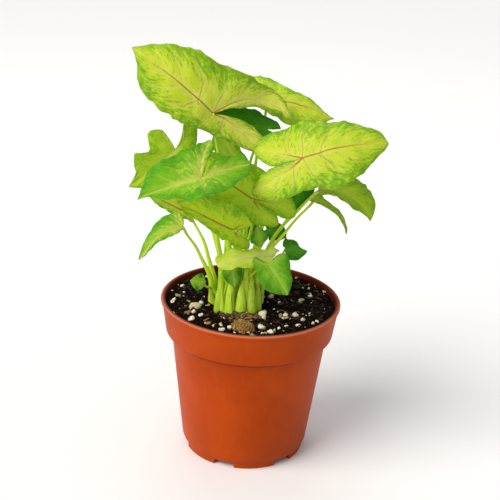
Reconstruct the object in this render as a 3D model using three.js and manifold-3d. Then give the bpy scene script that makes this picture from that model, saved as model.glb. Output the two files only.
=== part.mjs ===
// Arrowhead plant in a round nursery pot. Millimetres, +Z up, +Y away from the front.
// The origin is on the floor, under the middle of the pot.
import * as THREE from "three";
import { mergeVertices } from "three/addons/utils/BufferGeometryUtils.js";
import Module from "manifold-3d";

const wasm = await Module();
wasm.setup();

// ---- driving dimensions ----
const clearance = 0.3; // air between two pieces that touch on the real plant

const pot = {
  height: 97,
  rimRadius: 54, // outside, at the lip
  lip: 1, // how far the lip stands out
  bandRadius: 50.4, // outside, at the bottom of the rim band
  bandDrop: 21, // from the lip down to the bottom of the band
  shoulderRadius: 46.9, // outside, just under the band
  bottomRadius: 38.4, // outside, where the wall turns under
  footRadius: 36.4,
  footWidth: 3,
  footHeight: 4,
  wall: 1.5,
  bevel: 0.6,
  lipDepth: 2.8,
  turnUnder: 2.6, // height of the rounded turn from the wall to the foot
  feet: 6,
  feetTurn: 12, // degrees from the front to the middle of the first foot
  notchWidth: 12.5,
  notchHeight: 3.2,
  drainRadius: 4,
  drainCircle: 24,
  facets: 60,
};

const soil = { belowLip: 3, dip: 1, dipRadius: 40, rings: 7 };

// The crown is the short fleshy stem that every stalk rises from, an oval seen from above.
const crown = { x: -8, y: 0.5, length: 37, width: 25, lean: 15, top: 97, bottom: 84, taper: 0.75 };
const seats = { spacing: 5.2, rowDepth: 4.5 };
const stub = { x: -4, y: -36, radius: 6.8, dome: 3, rings: 5, top: 97.6, bottom: 84 };

const stalk = { footRadius: 2.35, topRadius: 0.95, rise: 0.42, arrive: 0.3, sides: 6, rings: 9 };
const blade = {
  thickness: 1.2,
  smallLeaf: 28,
  large: { front: 7, lobe: 4, across: 3 },
  small: { front: 5, lobe: 3, across: 2 },
};

const tones = {
  yellow: "#c9cc44",
  lime: "#b2cc35",
  pale: "#b3bf4c",
  fresh: "#70bb22",
  green: "#6fa81f",
  olive: "#92b31f",
  moss: "#8cae22",
  dark: "#437a14",
  stalk: "#8fae2c",
};

const granules = [
  { x: -32.5, y: -11.7, long: 7, wide: 4.5, high: 3.5, turn: 10 },
  { x: -33.5, y: -30, long: 4, wide: 3.5, high: 2.6, turn: 40 },
  { x: 7, y: -18, long: 5, wide: 4.5, high: 3.2, turn: -20 },
  { x: 27, y: -18.3, long: 4.5, wide: 4, high: 2.6, turn: 25 },
  { x: 7, y: -35, long: 4.5, wide: 4, high: 3.2, turn: -5 },
  { x: 30.4, y: 5, long: 4.5, wide: 3, high: 2.6, turn: 60 },
];

// ---- leaves ----
// base is where the stalk meets the blade and tip the far end of the midrib. face is the side that the
// upper surface looks to. seat is the place of the stalk on the crown. The margins of a leaf are given
// in blade lengths, with x along the midrib and y outwards; a leaf without them is a plain arrowhead.
// droop, back: how far the midrib bends down, and the lobes, in degrees. fold: how steeply each half
// rises from the midrib. curl: how much it falls again. ripple: height of the waves in the margin, mm.
const leaves = [
  {
    name: "top_left", base: [-26.8, 3, 209], tip: [-75.3, 13, 242.6],
    face: [0.1, -0.85, 0.5], seat: [-1, 0], droop: 45, back: -20, fold: [0.1, 0.1], ripple: 1.2,
    tone: "yellow",
    left: { outer: [[0.88, 0.07], [0.7, 0.24], [0.46, 0.32], [0.18, 0.27], [-0.04, 0.18], [-0.31, 0.09],
      [-0.54, 0], [-0.58, -0.1]], inner: [[-0.5, -0.18], [-0.22, -0.13]] },
    right: { outer: [[0.92, 0.07], [0.76, 0.21], [0.5, 0.35], [0.23, 0.41], [-0.1, 0.53], [-0.38, 0.6],
      [-0.51, 0.55], [-0.65, 0.48]], inner: [[-0.42, 0.42], [-0.14, 0.2]] },
  },
  {
    name: "top_back", base: [4, 41, 209.4], tip: [44.3, 35, 200.6],
    face: [0, -0.7, 0.7], seat: [0.5, 1], droop: 40, fold: [0.1, 0.1], arrive: [0.1, -0.3, 0.95],
    tone: "lime",
    left: { outer: [[0.91, 0.01], [0.83, 0.04], [0.65, 0.13], [0.38, 0.19], [0.08, 0.28], [-0.22, 0.36],
      [-0.38, 0.28]], inner: [[-0.22, 0.1]] },
    right: { outer: [[0.93, 0.06], [0.84, 0.2], [0.66, 0.33], [0.4, 0.36], [0.1, 0.24], [-0.2, 0.12]],
      inner: [[-0.15, 0.04]] },
  },
  {
    name: "right_front", base: [24.8, -19, 192.2], tip: [73.4, -9, 200.4],
    face: [0, -0.65, 0.7], seat: [1, 0], droop: 50, fold: [-0.1, -0.1], arrive: [0.12, -0.95, 0.45],
    tone: "lime",
    left: { outer: [[0.92, 0.15], [0.62, 0.32], [0.24, 0.45], [-0.1, 0.52], [-0.42, 0.5],
      [-0.56, 0.38]], inner: [[-0.5, 0.2], [-0.36, 0.06], [-0.18, 0.015]] },
    right: { outer: [[0.9, 0.1], [0.77, 0.2], [0.51, 0.38], [0.25, 0.41], [0.05, 0.35], [-0.15, 0.35],
      [-0.4, 0.31], [-0.64, 0.22], [-0.66, 0.1]], inner: [[-0.4, -0.04], [-0.18, -0.01]] },
  },
  {
    name: "left_front", base: [-30.8, -35, 182.7], tip: [-64.5, -50, 173.8],
    face: [0.1, -0.5, 0.85], seat: [-2, 0], droop: 20, fold: [0.4, 0.3], arrive: [-0.2, -0.6, 0.8],
    tone: "fresh",
    left: { outer: [[0.85, 0.04], [0.71, 0.17], [0.48, 0.33], [0.23, 0.44], [0.06, 0.4], [-0.32, 0.35],
      [-0.55, 0.18], [-0.78, 0.06], [-0.87, -0.12]], inner: [[-0.71, -0.28], [-0.29, -0.22]] },
    right: { outer: [[0.88, 0.1], [0.71, 0.32], [0.46, 0.44], [0.2, 0.5], [-0.05, 0.54], [-0.25, 0.64],
      [-0.38, 0.67], [-0.43, 0.6]], inner: [[-0.36, 0.43], [-0.18, 0.22]] },
  },
  {
    name: "left_back", base: [-48, 5, 186], tip: [-74, -5, 165],
    face: [0.1, -1, 0.1], seat: [-1.5, 1], droop: 20, tone: "moss",
    left: { outer: [[0.86, 0.15], [0.63, 0.26], [0.34, 0.3], [0, 0.28], [-0.3, 0.16], [-0.5, 0],
      [-0.62, -0.2]], inner: [[-0.45, -0.32], [-0.23, -0.12]] },
    right: { outer: [[0.77, 0.1], [0.7, 0.24], [0.58, 0.38], [0.49, 0.32], [0.36, 0.25], [0.2, 0.48],
      [0, 0.4]], inner: [[-0.02, 0.2]] },
  },
  {
    name: "middle_back", base: [-15, 22, 178], tip: [-26, 32, 192],
    face: [0, -1, 0.1], seat: [-0.5, 1], tone: "moss",
    left: { outer: [[0.75, 0.29], [0.5, 0.38], [0.27, 0.3], [0, 0.2], [-0.2, 0.12]],
      inner: [[-0.14, 0.03]] },
    right: { outer: [[0.8, 0.3], [0.45, 0.42], [0.05, 0.32], [-0.21, 0.34], [-0.45, 0.2]],
      inner: [[-0.25, 0.05]] },
  },
  {
    name: "top_shade", base: [4.4, 26, 194.7], tip: [-28.6, 20, 203.9],
    face: [0.1, -1, 0.25], seat: [0, 0], droop: -20, arrive: [0.5, -0.4, 0.8], tone: "dark",
    left: { outer: [[0.85, 0.16], [0.5, 0.34], [0.1, 0.42], [-0.3, 0.42], [-0.62, 0.3]],
      inner: [[-0.4, 0.1]] },
    right: { outer: [[0.85, 0.14], [0.5, 0.26], [0.16, 0.24], [-0.08, 0.17], [-0.22, 0.08]],
      inner: [[-0.13, 0.03]] },
  },
  {
    name: "lower_left_back", base: [-39, 8, 146], tip: [-66, 5, 160],
    face: [0, -1, 0.1], seat: [-2.5, 1], tone: "lime",
    left: { outer: [[0.82, 0.07], [0.6, 0.13], [0.36, 0.14], [0.07, 0.12], [-0.15, 0.12]],
      inner: [[-0.1, 0.03]] },
    right: { outer: [[0.83, 0.3], [0.4, 0.36], [0.05, 0.32], [-0.2, 0.22]], inner: [[-0.1, 0.06]] },
  },
  {
    name: "centre_left", base: [-12, -17, 146.2], tip: [-43.8, -34, 168.1],
    face: [0, -1, 0.2], seat: [-1, -2], droop: 15, tone: "olive",
    left: { outer: [[0.81, 0.08], [0.48, 0.11], [0.12, 0.17], [-0.17, 0.18], [-0.4, 0.15]],
      inner: [[-0.34, 0.04], [-0.14, 0.02]] },
    right: { outer: [[0.92, 0.1], [0.78, 0.21], [0.49, 0.29], [0.15, 0.32], [-0.08, 0.27],
      [-0.2, 0.18]], inner: [[-0.1, 0.06]] },
  },
  {
    name: "centre", base: [-2, -7, 162.2], tip: [-33.3, -4.3, 182.6],
    face: [0, -1, 0.1], seat: [-0.5, -1], tone: "lime",
    left: { outer: [[0.93, 0.25], [0.7, 0.48], [0.345, 0.42], [0, 0.32], [-0.25, 0.3], [-0.46, 0.23],
      [-0.6, 0.12]], inner: [[-0.44, 0.02], [-0.2, 0.015]] },
    right: { outer: [[0.95, 0.2], [0.75, 0.33], [0.45, 0.42], [0.16, 0.46], [-0.09, 0.44], [-0.34, 0.4],
      [-0.6, 0.3], [-0.74, 0.14]], inner: [[-0.62, 0.02], [-0.36, 0.01]] },
  },
  {
    name: "right_shade", base: [27, 24, 164], tip: [22, 20, 145],
    face: [0, -1, 0.1], seat: [1, 2], tone: "dark",
    left: { outer: [[0.9, 0.1], [0.65, 0.24], [0.35, 0.42], [0.1, 0.42], [-0.2, 0.3]],
      inner: [[-0.15, 0.08]] },
    right: { outer: [[0.77, 0.35], [0.4, 0.42], [0.1, 0.4], [-0.2, 0.3]], inner: [[-0.15, 0.08]] },
  },
  {
    name: "right_drooping", base: [36, 0, 167], tip: [68, 5, 148],
    face: [0.2, -0.8, 0.5], seat: [2, 0], droop: 30, sway: 0.15, tone: "moss",
    left: { outer: [[0.98, 0.12], [0.92, 0.24], [0.72, 0.29], [0.45, 0.3], [0.19, 0.3], [-0.05, 0.22]],
      inner: [[-0.03, 0.06]] },
    right: { outer: [[0.88, 0.05], [0.75, 0.1], [0.59, 0.15], [0.43, 0.1], [0.26, 0.08], [0.08, 0.08]],
      inner: [[0, 0.03]] },
  },
  {
    name: "right_folded", base: [34, 12, 156], tip: [55, 10, 137],
    face: [0.6, -0.2, 0.8], seat: [1.5, -1], droop: 70, fold: [0.6, 0.6], ripple: 0.2, width: 0.14,
    lobe: 0.08, arrive: [0.6, 0.27, 0.72], tone: "moss",
  },
  {
    name: "low_left", base: [-41, -15, 146], tip: [-65, -30, 130],
    face: [-0.3, -0.6, 0.7], seat: [-3, 0], droop: 40, sway: -0.1, tone: "fresh",
    left: { outer: [[0.93, 0.05], [0.74, 0.11], [0.52, 0.15], [0.35, 0.18], [0.12, 0.13]],
      inner: [[0.04, 0.05]] },
    right: { outer: [[0.86, 0.07], [0.57, 0.15], [0.38, 0.22], [0.02, 0.37], [-0.12, 0.38]],
      inner: [[-0.11, 0.2]] },
  },
  {
    name: "low_wavy", base: [2.8, -17, 130.2], tip: [-19.8, -27, 126.8],
    face: [0, -0.2, 1], seat: [0, -2], ripple: 1.4, tone: "pale",
    left: { outer: [[0.92, 0.2], [0.68, 0.34], [0.3, 0.34], [0, 0.3], [-0.35, 0.34], [-0.62, 0.2]],
      inner: [[-0.3, 0.05]] },
    right: { outer: [[0.95, 0.22], [0.72, 0.4], [0.35, 0.37], [0, 0.3], [-0.35, 0.36], [-0.7, 0.28]],
      inner: [[-0.35, 0.06]] },
  },
  {
    name: "low_middle", base: [3.6, -6.5, 135], tip: [1.3, -5, 145.6],
    face: [0.1, -1, 0.3], seat: [0.5, -1], width: 0.5, lobe: 0.2, arrive: [0.1, -0.2, 1], tone: "green",
  },
  {
    name: "low_right_back", base: [9.5, 16, 134.5], tip: [19.5, 14, 131.5],
    face: [0, -0.8, 0.5], seat: [1.5, 1], width: 0.58, lobe: 0.4, arrive: [0.4, -0.3, 0.9],
    tone: "dark",
  },
  {
    name: "low_front", base: [8.9, -29, 130.9], tip: [20.7, -37, 116.1],
    face: [0.2, -0.8, 0.6], seat: [1.5, -2], arrive: [0.2, -0.8, 0.5], tone: "green",
    left: { outer: [[0.9, 0.13], [0.7, 0.31], [0.4, 0.49], [0.1, 0.56], [-0.08, 0.58]],
      inner: [[-0.12, 0.4], [-0.06, 0.15]] },
    right: { outer: [[0.93, 0.09], [0.75, 0.31], [0.5, 0.47], [0.2, 0.47], [-0.1, 0.4], [-0.37, 0.26]],
      inner: [[-0.32, 0.12]] },
  },
  {
    name: "low_right", base: [19, 5, 128], tip: [32, 0, 129],
    face: [0, -0.8, 0.5], seat: [2.5, -1], tone: "dark",
    left: { outer: [[0.74, 0.13], [0.3, 0.34], [-0.1, 0.5]], inner: [[-0.15, 0.2]] },
    right: { outer: [[0.87, 0.28], [0.7, 0.46], [0.45, 0.53], [0.15, 0.45]], inner: [[0.05, 0.2]] },
  },
  {
    name: "young_front", base: [-12.6, -13, 122.3], tip: [-9.9, -18, 110.6],
    face: [0.2, -0.9, 0.2], seat: [-1.5, -1], width: 0.4, lobe: 0.25, arrive: [0.5, -0.6, 0.6],
    tone: "green",
  },
  {
    name: "young_left", base: [-28, -16, 112], tip: [-36, -18, 114],
    face: [-0.2, -0.8, 0.5], seat: [-2.5, -1], width: 0.6, lobe: 0.2, tone: "green",
  },
  {
    name: "back_left", base: [-26, 36, 165], tip: [-50, 47, 148],
    face: [-0.3, 0.6, 0.7], seat: [-1, 2], droop: 45, width: 0.42, lobe: 0.45, tone: "dark",
  },
  {
    name: "back_right", base: [44, 46, 170], tip: [60, 48, 158],
    face: [0.3, 0.5, 0.8], seat: [2.5, 1], droop: 45, width: 0.38, lobe: 0.36, tone: "dark",
  },
  {
    name: "back_low", base: [-6, 34, 136], tip: [-10, 47, 112],
    face: [0, 0.8, 0.6], seat: [0, 2], droop: 40, width: 0.42, lobe: 0.4, tone: "dark",
  },
];

const usual = {
  droop: 25, back: 15, fold: [0.2, 0.2], curl: 0.3, ripple: 1, sway: 0, width: 0.46, lobe: 0.5,
  arrive: null,
};

// ---- small helpers ----
const radians = THREE.MathUtils.degToRad;
const mix = THREE.MathUtils.lerp;
const vector = (p) => new THREE.Vector3(...p);
const count = (n, make) => Array.from({ length: n }, (_, k) => make(k));

const plant = new THREE.Group();
plant.name = "arrowhead_plant";

function add(name, geometry, color, roughness) {
  const look = new THREE.MeshStandardMaterial({ color, roughness, metalness: 0 });
  const mesh = new THREE.Mesh(geometry, look);
  mesh.name = name;
  plant.add(mesh);
}

// One vertex where corners meet, and no triangle that has shrunk to a line.
function weld(geometry) {
  const bare = geometry.clone();
  bare.deleteAttribute("normal");
  bare.deleteAttribute("uv");
  const welded = mergeVertices(bare, 1e-4);
  const kept = [];
  for (let k = 0; k < welded.index.count; k += 3) {
    const [a, b, c] = [0, 1, 2].map((n) => welded.index.getX(k + n));
    if (a !== b && b !== c && c !== a) kept.push(a, b, c);
  }
  welded.setIndex(kept);
  welded.computeVertexNormals();
  return welded;
}

// Triangles given as triples of Vector3.
function fromTriangles(triangles) {
  const corners = triangles.flat().flatMap((p) => [p.x, p.y, p.z]);
  const geometry = new THREE.BufferGeometry();
  geometry.setAttribute("position", new THREE.Float32BufferAttribute(corners, 3));
  return weld(geometry);
}

// ---- joining and cutting ----
function toSolid(geometry) {
  const welded = weld(geometry);
  return new wasm.Manifold(new wasm.Mesh({
    numProp: 3,
    vertProperties: new Float32Array(welded.attributes.position.array),
    triVerts: new Uint32Array(welded.index.array),
  }));
}

function fromSolid(solid) {
  const mesh = solid.getMesh();
  const geometry = new THREE.BufferGeometry();
  const corners = new Float32Array(mesh.vertProperties);
  geometry.setAttribute("position", new THREE.BufferAttribute(corners, 3));
  geometry.setIndex(new THREE.BufferAttribute(new Uint32Array(mesh.triVerts), 1));
  geometry.computeVertexNormals();
  return geometry;
}

// A solid of revolution about +Z. Its outline of [radius, height] points starts on the axis underneath,
// goes out and up, and ends on the axis.
function turned(outline, facets) {
  const points = outline.map(([r, z]) => new THREE.Vector2(r, z));
  return new THREE.LatheGeometry(points, facets).rotateX(Math.PI / 2);
}

// ---- pot ----
function buildPot() {
  const bandFoot = pot.height - pot.bandDrop;
  const underLip = pot.rimRadius - pot.lip;
  const outline = [
    [0, pot.footHeight],
    [pot.footRadius - pot.footWidth, pot.footHeight],
    [pot.footRadius - pot.footWidth, 0],
    [pot.footRadius, 0],
    [pot.footRadius, pot.footHeight - pot.bevel],
    [pot.bottomRadius - 1.5 * pot.bevel, pot.footHeight + pot.bevel],
    [pot.bottomRadius, pot.footHeight + pot.turnUnder],
    [pot.shoulderRadius, bandFoot - pot.bevel],
    [pot.bandRadius - pot.bevel, bandFoot],
    [pot.bandRadius, bandFoot + pot.bevel],
    [underLip, pot.height - pot.lipDepth],
    [pot.rimRadius, pot.height - pot.lipDepth + pot.lip],
    [pot.rimRadius, pot.height - pot.bevel],
    [pot.rimRadius - pot.bevel, pot.height],
    [underLip - pot.wall + pot.bevel, pot.height],
    [underLip - pot.wall, pot.height - pot.bevel],
    [pot.bandRadius - pot.wall, bandFoot + 2 * pot.wall],
    [pot.shoulderRadius - pot.wall, bandFoot],
    [pot.bottomRadius - pot.wall + 0.2, pot.footHeight + 2 * pot.wall],
    [pot.bottomRadius - 2 * pot.wall, pot.footHeight + pot.wall],
    [0, pot.footHeight + pot.wall],
  ];
  const notch = new THREE.BoxGeometry(pot.notchWidth, 4 * pot.footWidth, 2 * pot.notchHeight);
  notch.translate(0, -pot.footRadius, 0);
  const drain = new THREE.CylinderGeometry(pot.drainRadius, pot.drainRadius, 2 * pot.footHeight, 16);
  drain.rotateX(Math.PI / 2).translate(0, -pot.drainCircle, pot.footHeight);
  const sixth = (2 * Math.PI) / pot.feet;
  const first = radians(pot.feetTurn);
  let body = toSolid(turned(outline, pot.facets));
  for (let k = 0; k < pot.feet; k++) {
    body = body.subtract(toSolid(notch.clone().rotateZ(first + (k + 0.5) * sixth)));
    body = body.subtract(toSolid(drain.clone().rotateZ(first + k * sixth)));
  }
  return fromSolid(body);
}

// ---- crown, stub and soil ----
// A tapered oval plug; grow widens it all round, for the hollow that it stands in.
function crownPlug(grow) {
  const height = crown.top - crown.bottom + 2 * grow;
  const plug = new THREE.CylinderGeometry(0.5, 0.5 * crown.taper, height, 28);
  plug.rotateX(Math.PI / 2).scale(crown.length + 2 * grow, crown.width + 2 * grow, 1);
  plug.rotateZ(radians(crown.lean));
  return plug.translate(crown.x, crown.y, (crown.top + crown.bottom) / 2);
}

// A straight-sided stump with a domed top.
function stubPlug(grow) {
  const radius = stub.radius + grow;
  const domeFoot = stub.top - stub.dome;
  const dome = count(stub.rings, (k) => {
    const turn = (k / stub.rings) * (Math.PI / 2);
    return [radius * Math.cos(turn), domeFoot + (stub.dome + grow) * Math.sin(turn)];
  });
  const outline = [[0, stub.bottom - grow], [0.8 * radius, stub.bottom - grow], ...dome];
  outline.push([0, stub.top + grow]);
  return turned(outline, 24).translate(stub.x, stub.y, 0);
}

function soilHeight(radius) {
  const edge = pot.height - soil.belowLip;
  if (radius > soil.dipRadius) return edge;
  return edge - 0.5 * soil.dip * (1 + Math.cos((Math.PI * radius) / soil.dipRadius));
}

function buildSoil() {
  const gap = pot.wall + clearance;
  const floor = pot.footHeight + gap;
  const bandFoot = pot.height - pot.bandDrop;
  const edgeRadius = mix(pot.rimRadius - pot.lip, pot.bandRadius, soil.belowLip / pot.bandDrop) - 2 * gap;
  const surface = count(soil.rings, (k) => {
    const radius = soil.dipRadius * (1 - k / soil.rings);
    return [radius, soilHeight(radius)];
  });
  const outline = [
    [0, floor],
    [pot.bottomRadius - 2 * pot.wall - clearance, floor],
    [pot.bottomRadius - gap, floor + pot.wall],
    [pot.shoulderRadius - gap, bandFoot + clearance],
    [pot.bandRadius - gap, bandFoot + 2 * pot.wall + clearance],
    [edgeRadius + gap, soilHeight(edgeRadius)],
    ...surface,
    [0, soilHeight(0)],
  ];
  const bed = toSolid(turned(outline, pot.facets));
  return fromSolid(bed.subtract(toSolid(crownPlug(clearance))).subtract(toSolid(stubPlug(clearance))));
}

// An angular granule lying on the soil.
function buildGranule({ x, y, long, wide, high, turn }) {
  const granule = new THREE.DodecahedronGeometry(0.5, 0);
  granule.scale(long, wide, high).rotateZ(radians(turn));
  granule.computeBoundingBox();
  const rest = soilHeight(Math.hypot(x, y)) + clearance - granule.boundingBox.min.z;
  return weld(granule.translate(x, y, rest));
}

// ---- leaves ----
// Gives the point at a fraction of the length of a curve's stretch from a to b.
function stretch(curve, a, b) {
  const steps = 48;
  const fine = count(steps + 1, (k) => curve.getPoint(mix(a, b, k / steps)));
  const reached = [0];
  for (let k = 1; k <= steps; k++) reached.push(reached[k - 1] + fine[k].distanceTo(fine[k - 1]));
  return (fraction) => {
    const goal = fraction * reached[steps];
    let k = 1;
    while (k < steps && reached[k] < goal) k++;
    return fine[k - 1].clone().lerp(fine[k], (goal - reached[k - 1]) / (reached[k] - reached[k - 1]));
  };
}

// A plain arrowhead half, for a leaf that mostly hides behind others.
function plainHalf({ width, lobe }) {
  const x = -0.87 * lobe;
  const y = 0.5 * lobe;
  return {
    outer: [[0.84, 0.42 * width], [0.52, 0.85 * width], [0.18, width],
      [0.5 * x + 0.12, 0.5 * y + 0.21], [x, y]],
    inner: [[0.72 * x, 0.2 * y]],
  };
}

// Rows of flat points over one half of a leaf of length 1. The midrib runs from (0, 0), where the stalk
// joins, to the tip at (1, 0), and y grows outwards. The margin passes through the outer points, the
// last of which ends the lobe, and the inner points back to the stalk. Each row runs from a rib to the
// margin: from the midrib in front of the shoulder, then from the rib of the lobe, out and back.
function halfRows(half, grid) {
  const points = [[1, 0], ...half.outer, ...half.inner, [0, 0]].map(([x, y]) => new THREE.Vector2(x, y));
  const margin = new THREE.SplineCurve(points);
  const lobeEnd = half.outer.length / (points.length - 1);
  const tries = count(101, (k) => (lobeEnd * k) / 100);
  const shoulder = tries.find((t) => {
    const p = margin.getPoint(t);
    return (t > 0.1 * lobeEnd && p.x < 0.5 * p.y) || t > 0.85 * lobeEnd;
  });
  const front = stretch(margin, 0, shoulder);
  const outer = stretch(margin, shoulder, lobeEnd);
  const inner = stretch(margin, lobeEnd, 1);
  const rib = count(grid.lobe + 1, (k) => {
    const reach = (0.9 * k) / grid.lobe;
    return inner(1 - reach).lerp(outer(reach), 0.5 * Math.sin((Math.PI / 2) * reach));
  });
  rib[0].set(0, 0);
  const ends = [
    ...count(grid.front + 1, (k) => [new THREE.Vector2(1 - k / grid.front, 0), front(k / grid.front)]),
    ...count(grid.lobe, (k) => [rib[k + 1], outer((k + 1) / grid.lobe)]),
    ...count(grid.lobe, (k) => [rib[grid.lobe - k - 1], inner((k + 1) / grid.lobe)]),
  ];
  return ends.map(([from, to]) => count(grid.across + 1, (k) => from.clone().lerp(to, k / grid.across)));
}

// Where a leaf lies: its axes at the stalk and the length of its bent midrib.
function leafFrame(leaf) {
  const base = vector(leaf.base);
  const chord = vector(leaf.tip).sub(base);
  const along = chord.clone().normalize();
  const up = vector(leaf.face).projectOnPlane(along).normalize();
  const half = radians(leaf.droop) / 2;
  const ahead = along.clone().multiplyScalar(Math.cos(half)).addScaledVector(up, Math.sin(half));
  const normal = up.multiplyScalar(Math.cos(half)).addScaledVector(along, -Math.sin(half));
  const left = normal.clone().cross(ahead);
  return { base, ahead, left, normal, length: (chord.length() * half) / Math.sin(half) };
}

// The flat point (x, y) carried onto the bent leaf and lifted off its middle surface. The midrib droops
// along an arc, the lobes bend back along another, the halves rise by fold and fall again by curl, and
// the margin ripples. side is 0 for the left half and 1 for the right.
function bendPoint(leaf, frame, { x, y }, side, lift) {
  const across = y / leaf.width;
  const rise = leaf.width * (leaf.fold[side] * across - 0.5 * leaf.curl * across ** 2);
  const wave = leaf.ripple * across ** 2 * Math.sin(4 * Math.PI * x + 2.1 * side);
  const height = frame.length * rise + wave + lift;
  const way = x < 0 ? -1 : 1;
  const bend = radians(x < 0 ? leaf.back : leaf.droop);
  const turn = bend * Math.abs(x);
  const reach = (frame.length * Math.sin(turn)) / bend;
  const drop = (frame.length * (1 - Math.cos(turn))) / bend;
  const sway = 4 * leaf.sway * (x > 0 ? x - x ** 2 : x);
  return frame.base.clone()
    .addScaledVector(frame.ahead, way * (reach + height * Math.sin(turn)))
    .addScaledVector(frame.left, frame.length * ((side === 0 ? y : -y) + sway))
    .addScaledVector(frame.normal, height * Math.cos(turn) - drop);
}

// A leaf blade of even thickness: an upper skin, a lower skin and a strip round the margin.
function buildBlade(leaf) {
  const frame = leafFrame(leaf);
  const grid = frame.length > blade.smallLeaf ? blade.large : blade.small;
  const triangles = [];
  const quad = (a, b, c, d, flip) => {
    triangles.push(flip ? [a, c, b] : [a, b, c], flip ? [a, d, c] : [a, c, d]);
  };
  [leaf.left ?? plainHalf(leaf), leaf.right ?? plainHalf(leaf)].forEach((half, side) => {
    const rows = halfRows(half, grid);
    const skin = (lift) => rows.map((row) => row.map((p) => bendPoint(leaf, frame, p, side, lift)));
    const top = skin(blade.thickness / 2);
    const under = skin(-blade.thickness / 2);
    const left = side === 0;
    const last = grid.across;
    for (let i = 0; i < rows.length - 1; i++) {
      for (let j = 0; j < last; j++) {
        quad(top[i][j], top[i + 1][j], top[i + 1][j + 1], top[i][j + 1], left);
        quad(under[i][j], under[i + 1][j], under[i + 1][j + 1], under[i][j + 1], !left);
      }
      quad(top[i][last], top[i + 1][last], under[i + 1][last], under[i][last], left);
    }
  });
  return fromTriangles(triangles);
}

// The place on the crown where a stalk rises.
function seatPoint([across, deep]) {
  const along = seats.spacing * across;
  const back = seats.rowDepth * deep;
  return new THREE.Vector3(along, back, crown.top + clearance)
    .applyAxisAngle(new THREE.Vector3(0, 0, 1), radians(crown.lean))
    .add(new THREE.Vector3(crown.x, crown.y, 0));
}

// A stalk that rises upright from the crown, bends over and meets the blade from below. It thins upwards.
function buildStalk(leaf) {
  const { base, ahead, normal } = leafFrame(leaf);
  const up = new THREE.Vector3(0, 0, 1);
  const usualWay = ahead.multiplyScalar(0.4).addScaledVector(normal, 0.5).addScaledVector(up, 0.5);
  const way = (leaf.arrive ? vector(leaf.arrive) : usualWay).normalize();
  const below = blade.thickness / 2 + clearance + stalk.topRadius * way.clone().cross(normal).length();
  const foot = seatPoint(leaf.seat);
  const head = base.addScaledVector(normal, -below);
  const reach = foot.distanceTo(head);
  const path = new THREE.CubicBezierCurve3(
    foot,
    foot.clone().addScaledVector(up, stalk.rise * reach),
    head.clone().addScaledVector(way, -stalk.arrive * reach),
    head,
  );
  const rings = count(stalk.rings, (k) => {
    const t = k / (stalk.rings - 1);
    const radius = mix(stalk.topRadius, stalk.footRadius, (1 - t) ** 2);
    const tangent = path.getTangent(t);
    const u = tangent.clone().cross(new THREE.Vector3(0, 1, 0)).normalize();
    const v = tangent.clone().cross(u);
    return count(stalk.sides, (n) => {
      const angle = (2 * Math.PI * n) / stalk.sides;
      return path.getPoint(t)
        .addScaledVector(u, radius * Math.cos(angle))
        .addScaledVector(v, radius * Math.sin(angle));
    });
  });
  const triangles = [];
  const top = rings.length - 1;
  for (let n = 0; n < stalk.sides; n++) {
    const m = (n + 1) % stalk.sides;
    for (let k = 0; k < top; k++) {
      triangles.push([rings[k][n], rings[k][m], rings[k + 1][m]]);
      triangles.push([rings[k][n], rings[k + 1][m], rings[k + 1][n]]);
    }
    triangles.push([foot, rings[0][m], rings[0][n]], [head, rings[top][n], rings[top][m]]);
  }
  return fromTriangles(triangles);
}

// ---- the plant in its pot ----
add("pot", buildPot(), "#c05221", 0.45);
add("soil", buildSoil(), "#2c2019", 0.95);
add("crown", weld(crownPlug(0)), "#86a02a", 0.6);
add("old_stem_stub", weld(stubPlug(0)), "#936e2d", 0.85);
granules.forEach((granule, k) => add(`perlite_${k + 1}`, buildGranule(granule), "#e9e2cf", 0.9));
for (const entry of leaves) {
  const leaf = { ...usual, ...entry };
  add(`stalk_${leaf.name}`, buildStalk(leaf), tones.stalk, 0.5);
  add(`blade_${leaf.name}`, buildBlade(leaf), tones[leaf.tone], 0.5);
}

export default plant;
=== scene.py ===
import math

import bpy
import mathutils
import numpy as np
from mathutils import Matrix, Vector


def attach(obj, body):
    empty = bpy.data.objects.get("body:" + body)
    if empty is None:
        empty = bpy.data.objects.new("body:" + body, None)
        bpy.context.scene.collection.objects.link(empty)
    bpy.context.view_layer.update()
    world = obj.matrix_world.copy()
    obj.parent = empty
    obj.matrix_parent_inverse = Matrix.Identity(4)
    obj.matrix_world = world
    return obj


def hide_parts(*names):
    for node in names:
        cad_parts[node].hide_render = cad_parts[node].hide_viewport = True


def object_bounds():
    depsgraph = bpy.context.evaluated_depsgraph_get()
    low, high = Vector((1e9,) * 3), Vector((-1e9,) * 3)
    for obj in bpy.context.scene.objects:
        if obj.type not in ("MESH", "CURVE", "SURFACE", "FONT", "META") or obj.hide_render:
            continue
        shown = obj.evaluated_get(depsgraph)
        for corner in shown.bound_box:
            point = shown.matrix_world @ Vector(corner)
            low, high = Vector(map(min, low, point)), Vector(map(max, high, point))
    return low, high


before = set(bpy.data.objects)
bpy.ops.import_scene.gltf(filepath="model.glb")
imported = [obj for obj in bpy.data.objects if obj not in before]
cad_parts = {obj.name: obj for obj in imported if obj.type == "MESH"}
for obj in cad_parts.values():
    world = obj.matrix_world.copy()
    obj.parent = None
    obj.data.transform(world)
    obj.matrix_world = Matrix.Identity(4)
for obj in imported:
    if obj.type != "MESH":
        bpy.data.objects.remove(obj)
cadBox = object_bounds()
print("frame loaded:", len(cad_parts), "nodes")

mm = 0.001
tau = 2 * math.pi
madeOf = {}  # finish name -> material, filled as the finishes are made


def smoothStep(low, high, x):
    # 3t^2 - 2t^3 of t, the place of x between low and high
    t = np.clip((x - low) / (high - low), 0, 1)
    return t * t * (3 - 2 * t)


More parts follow.
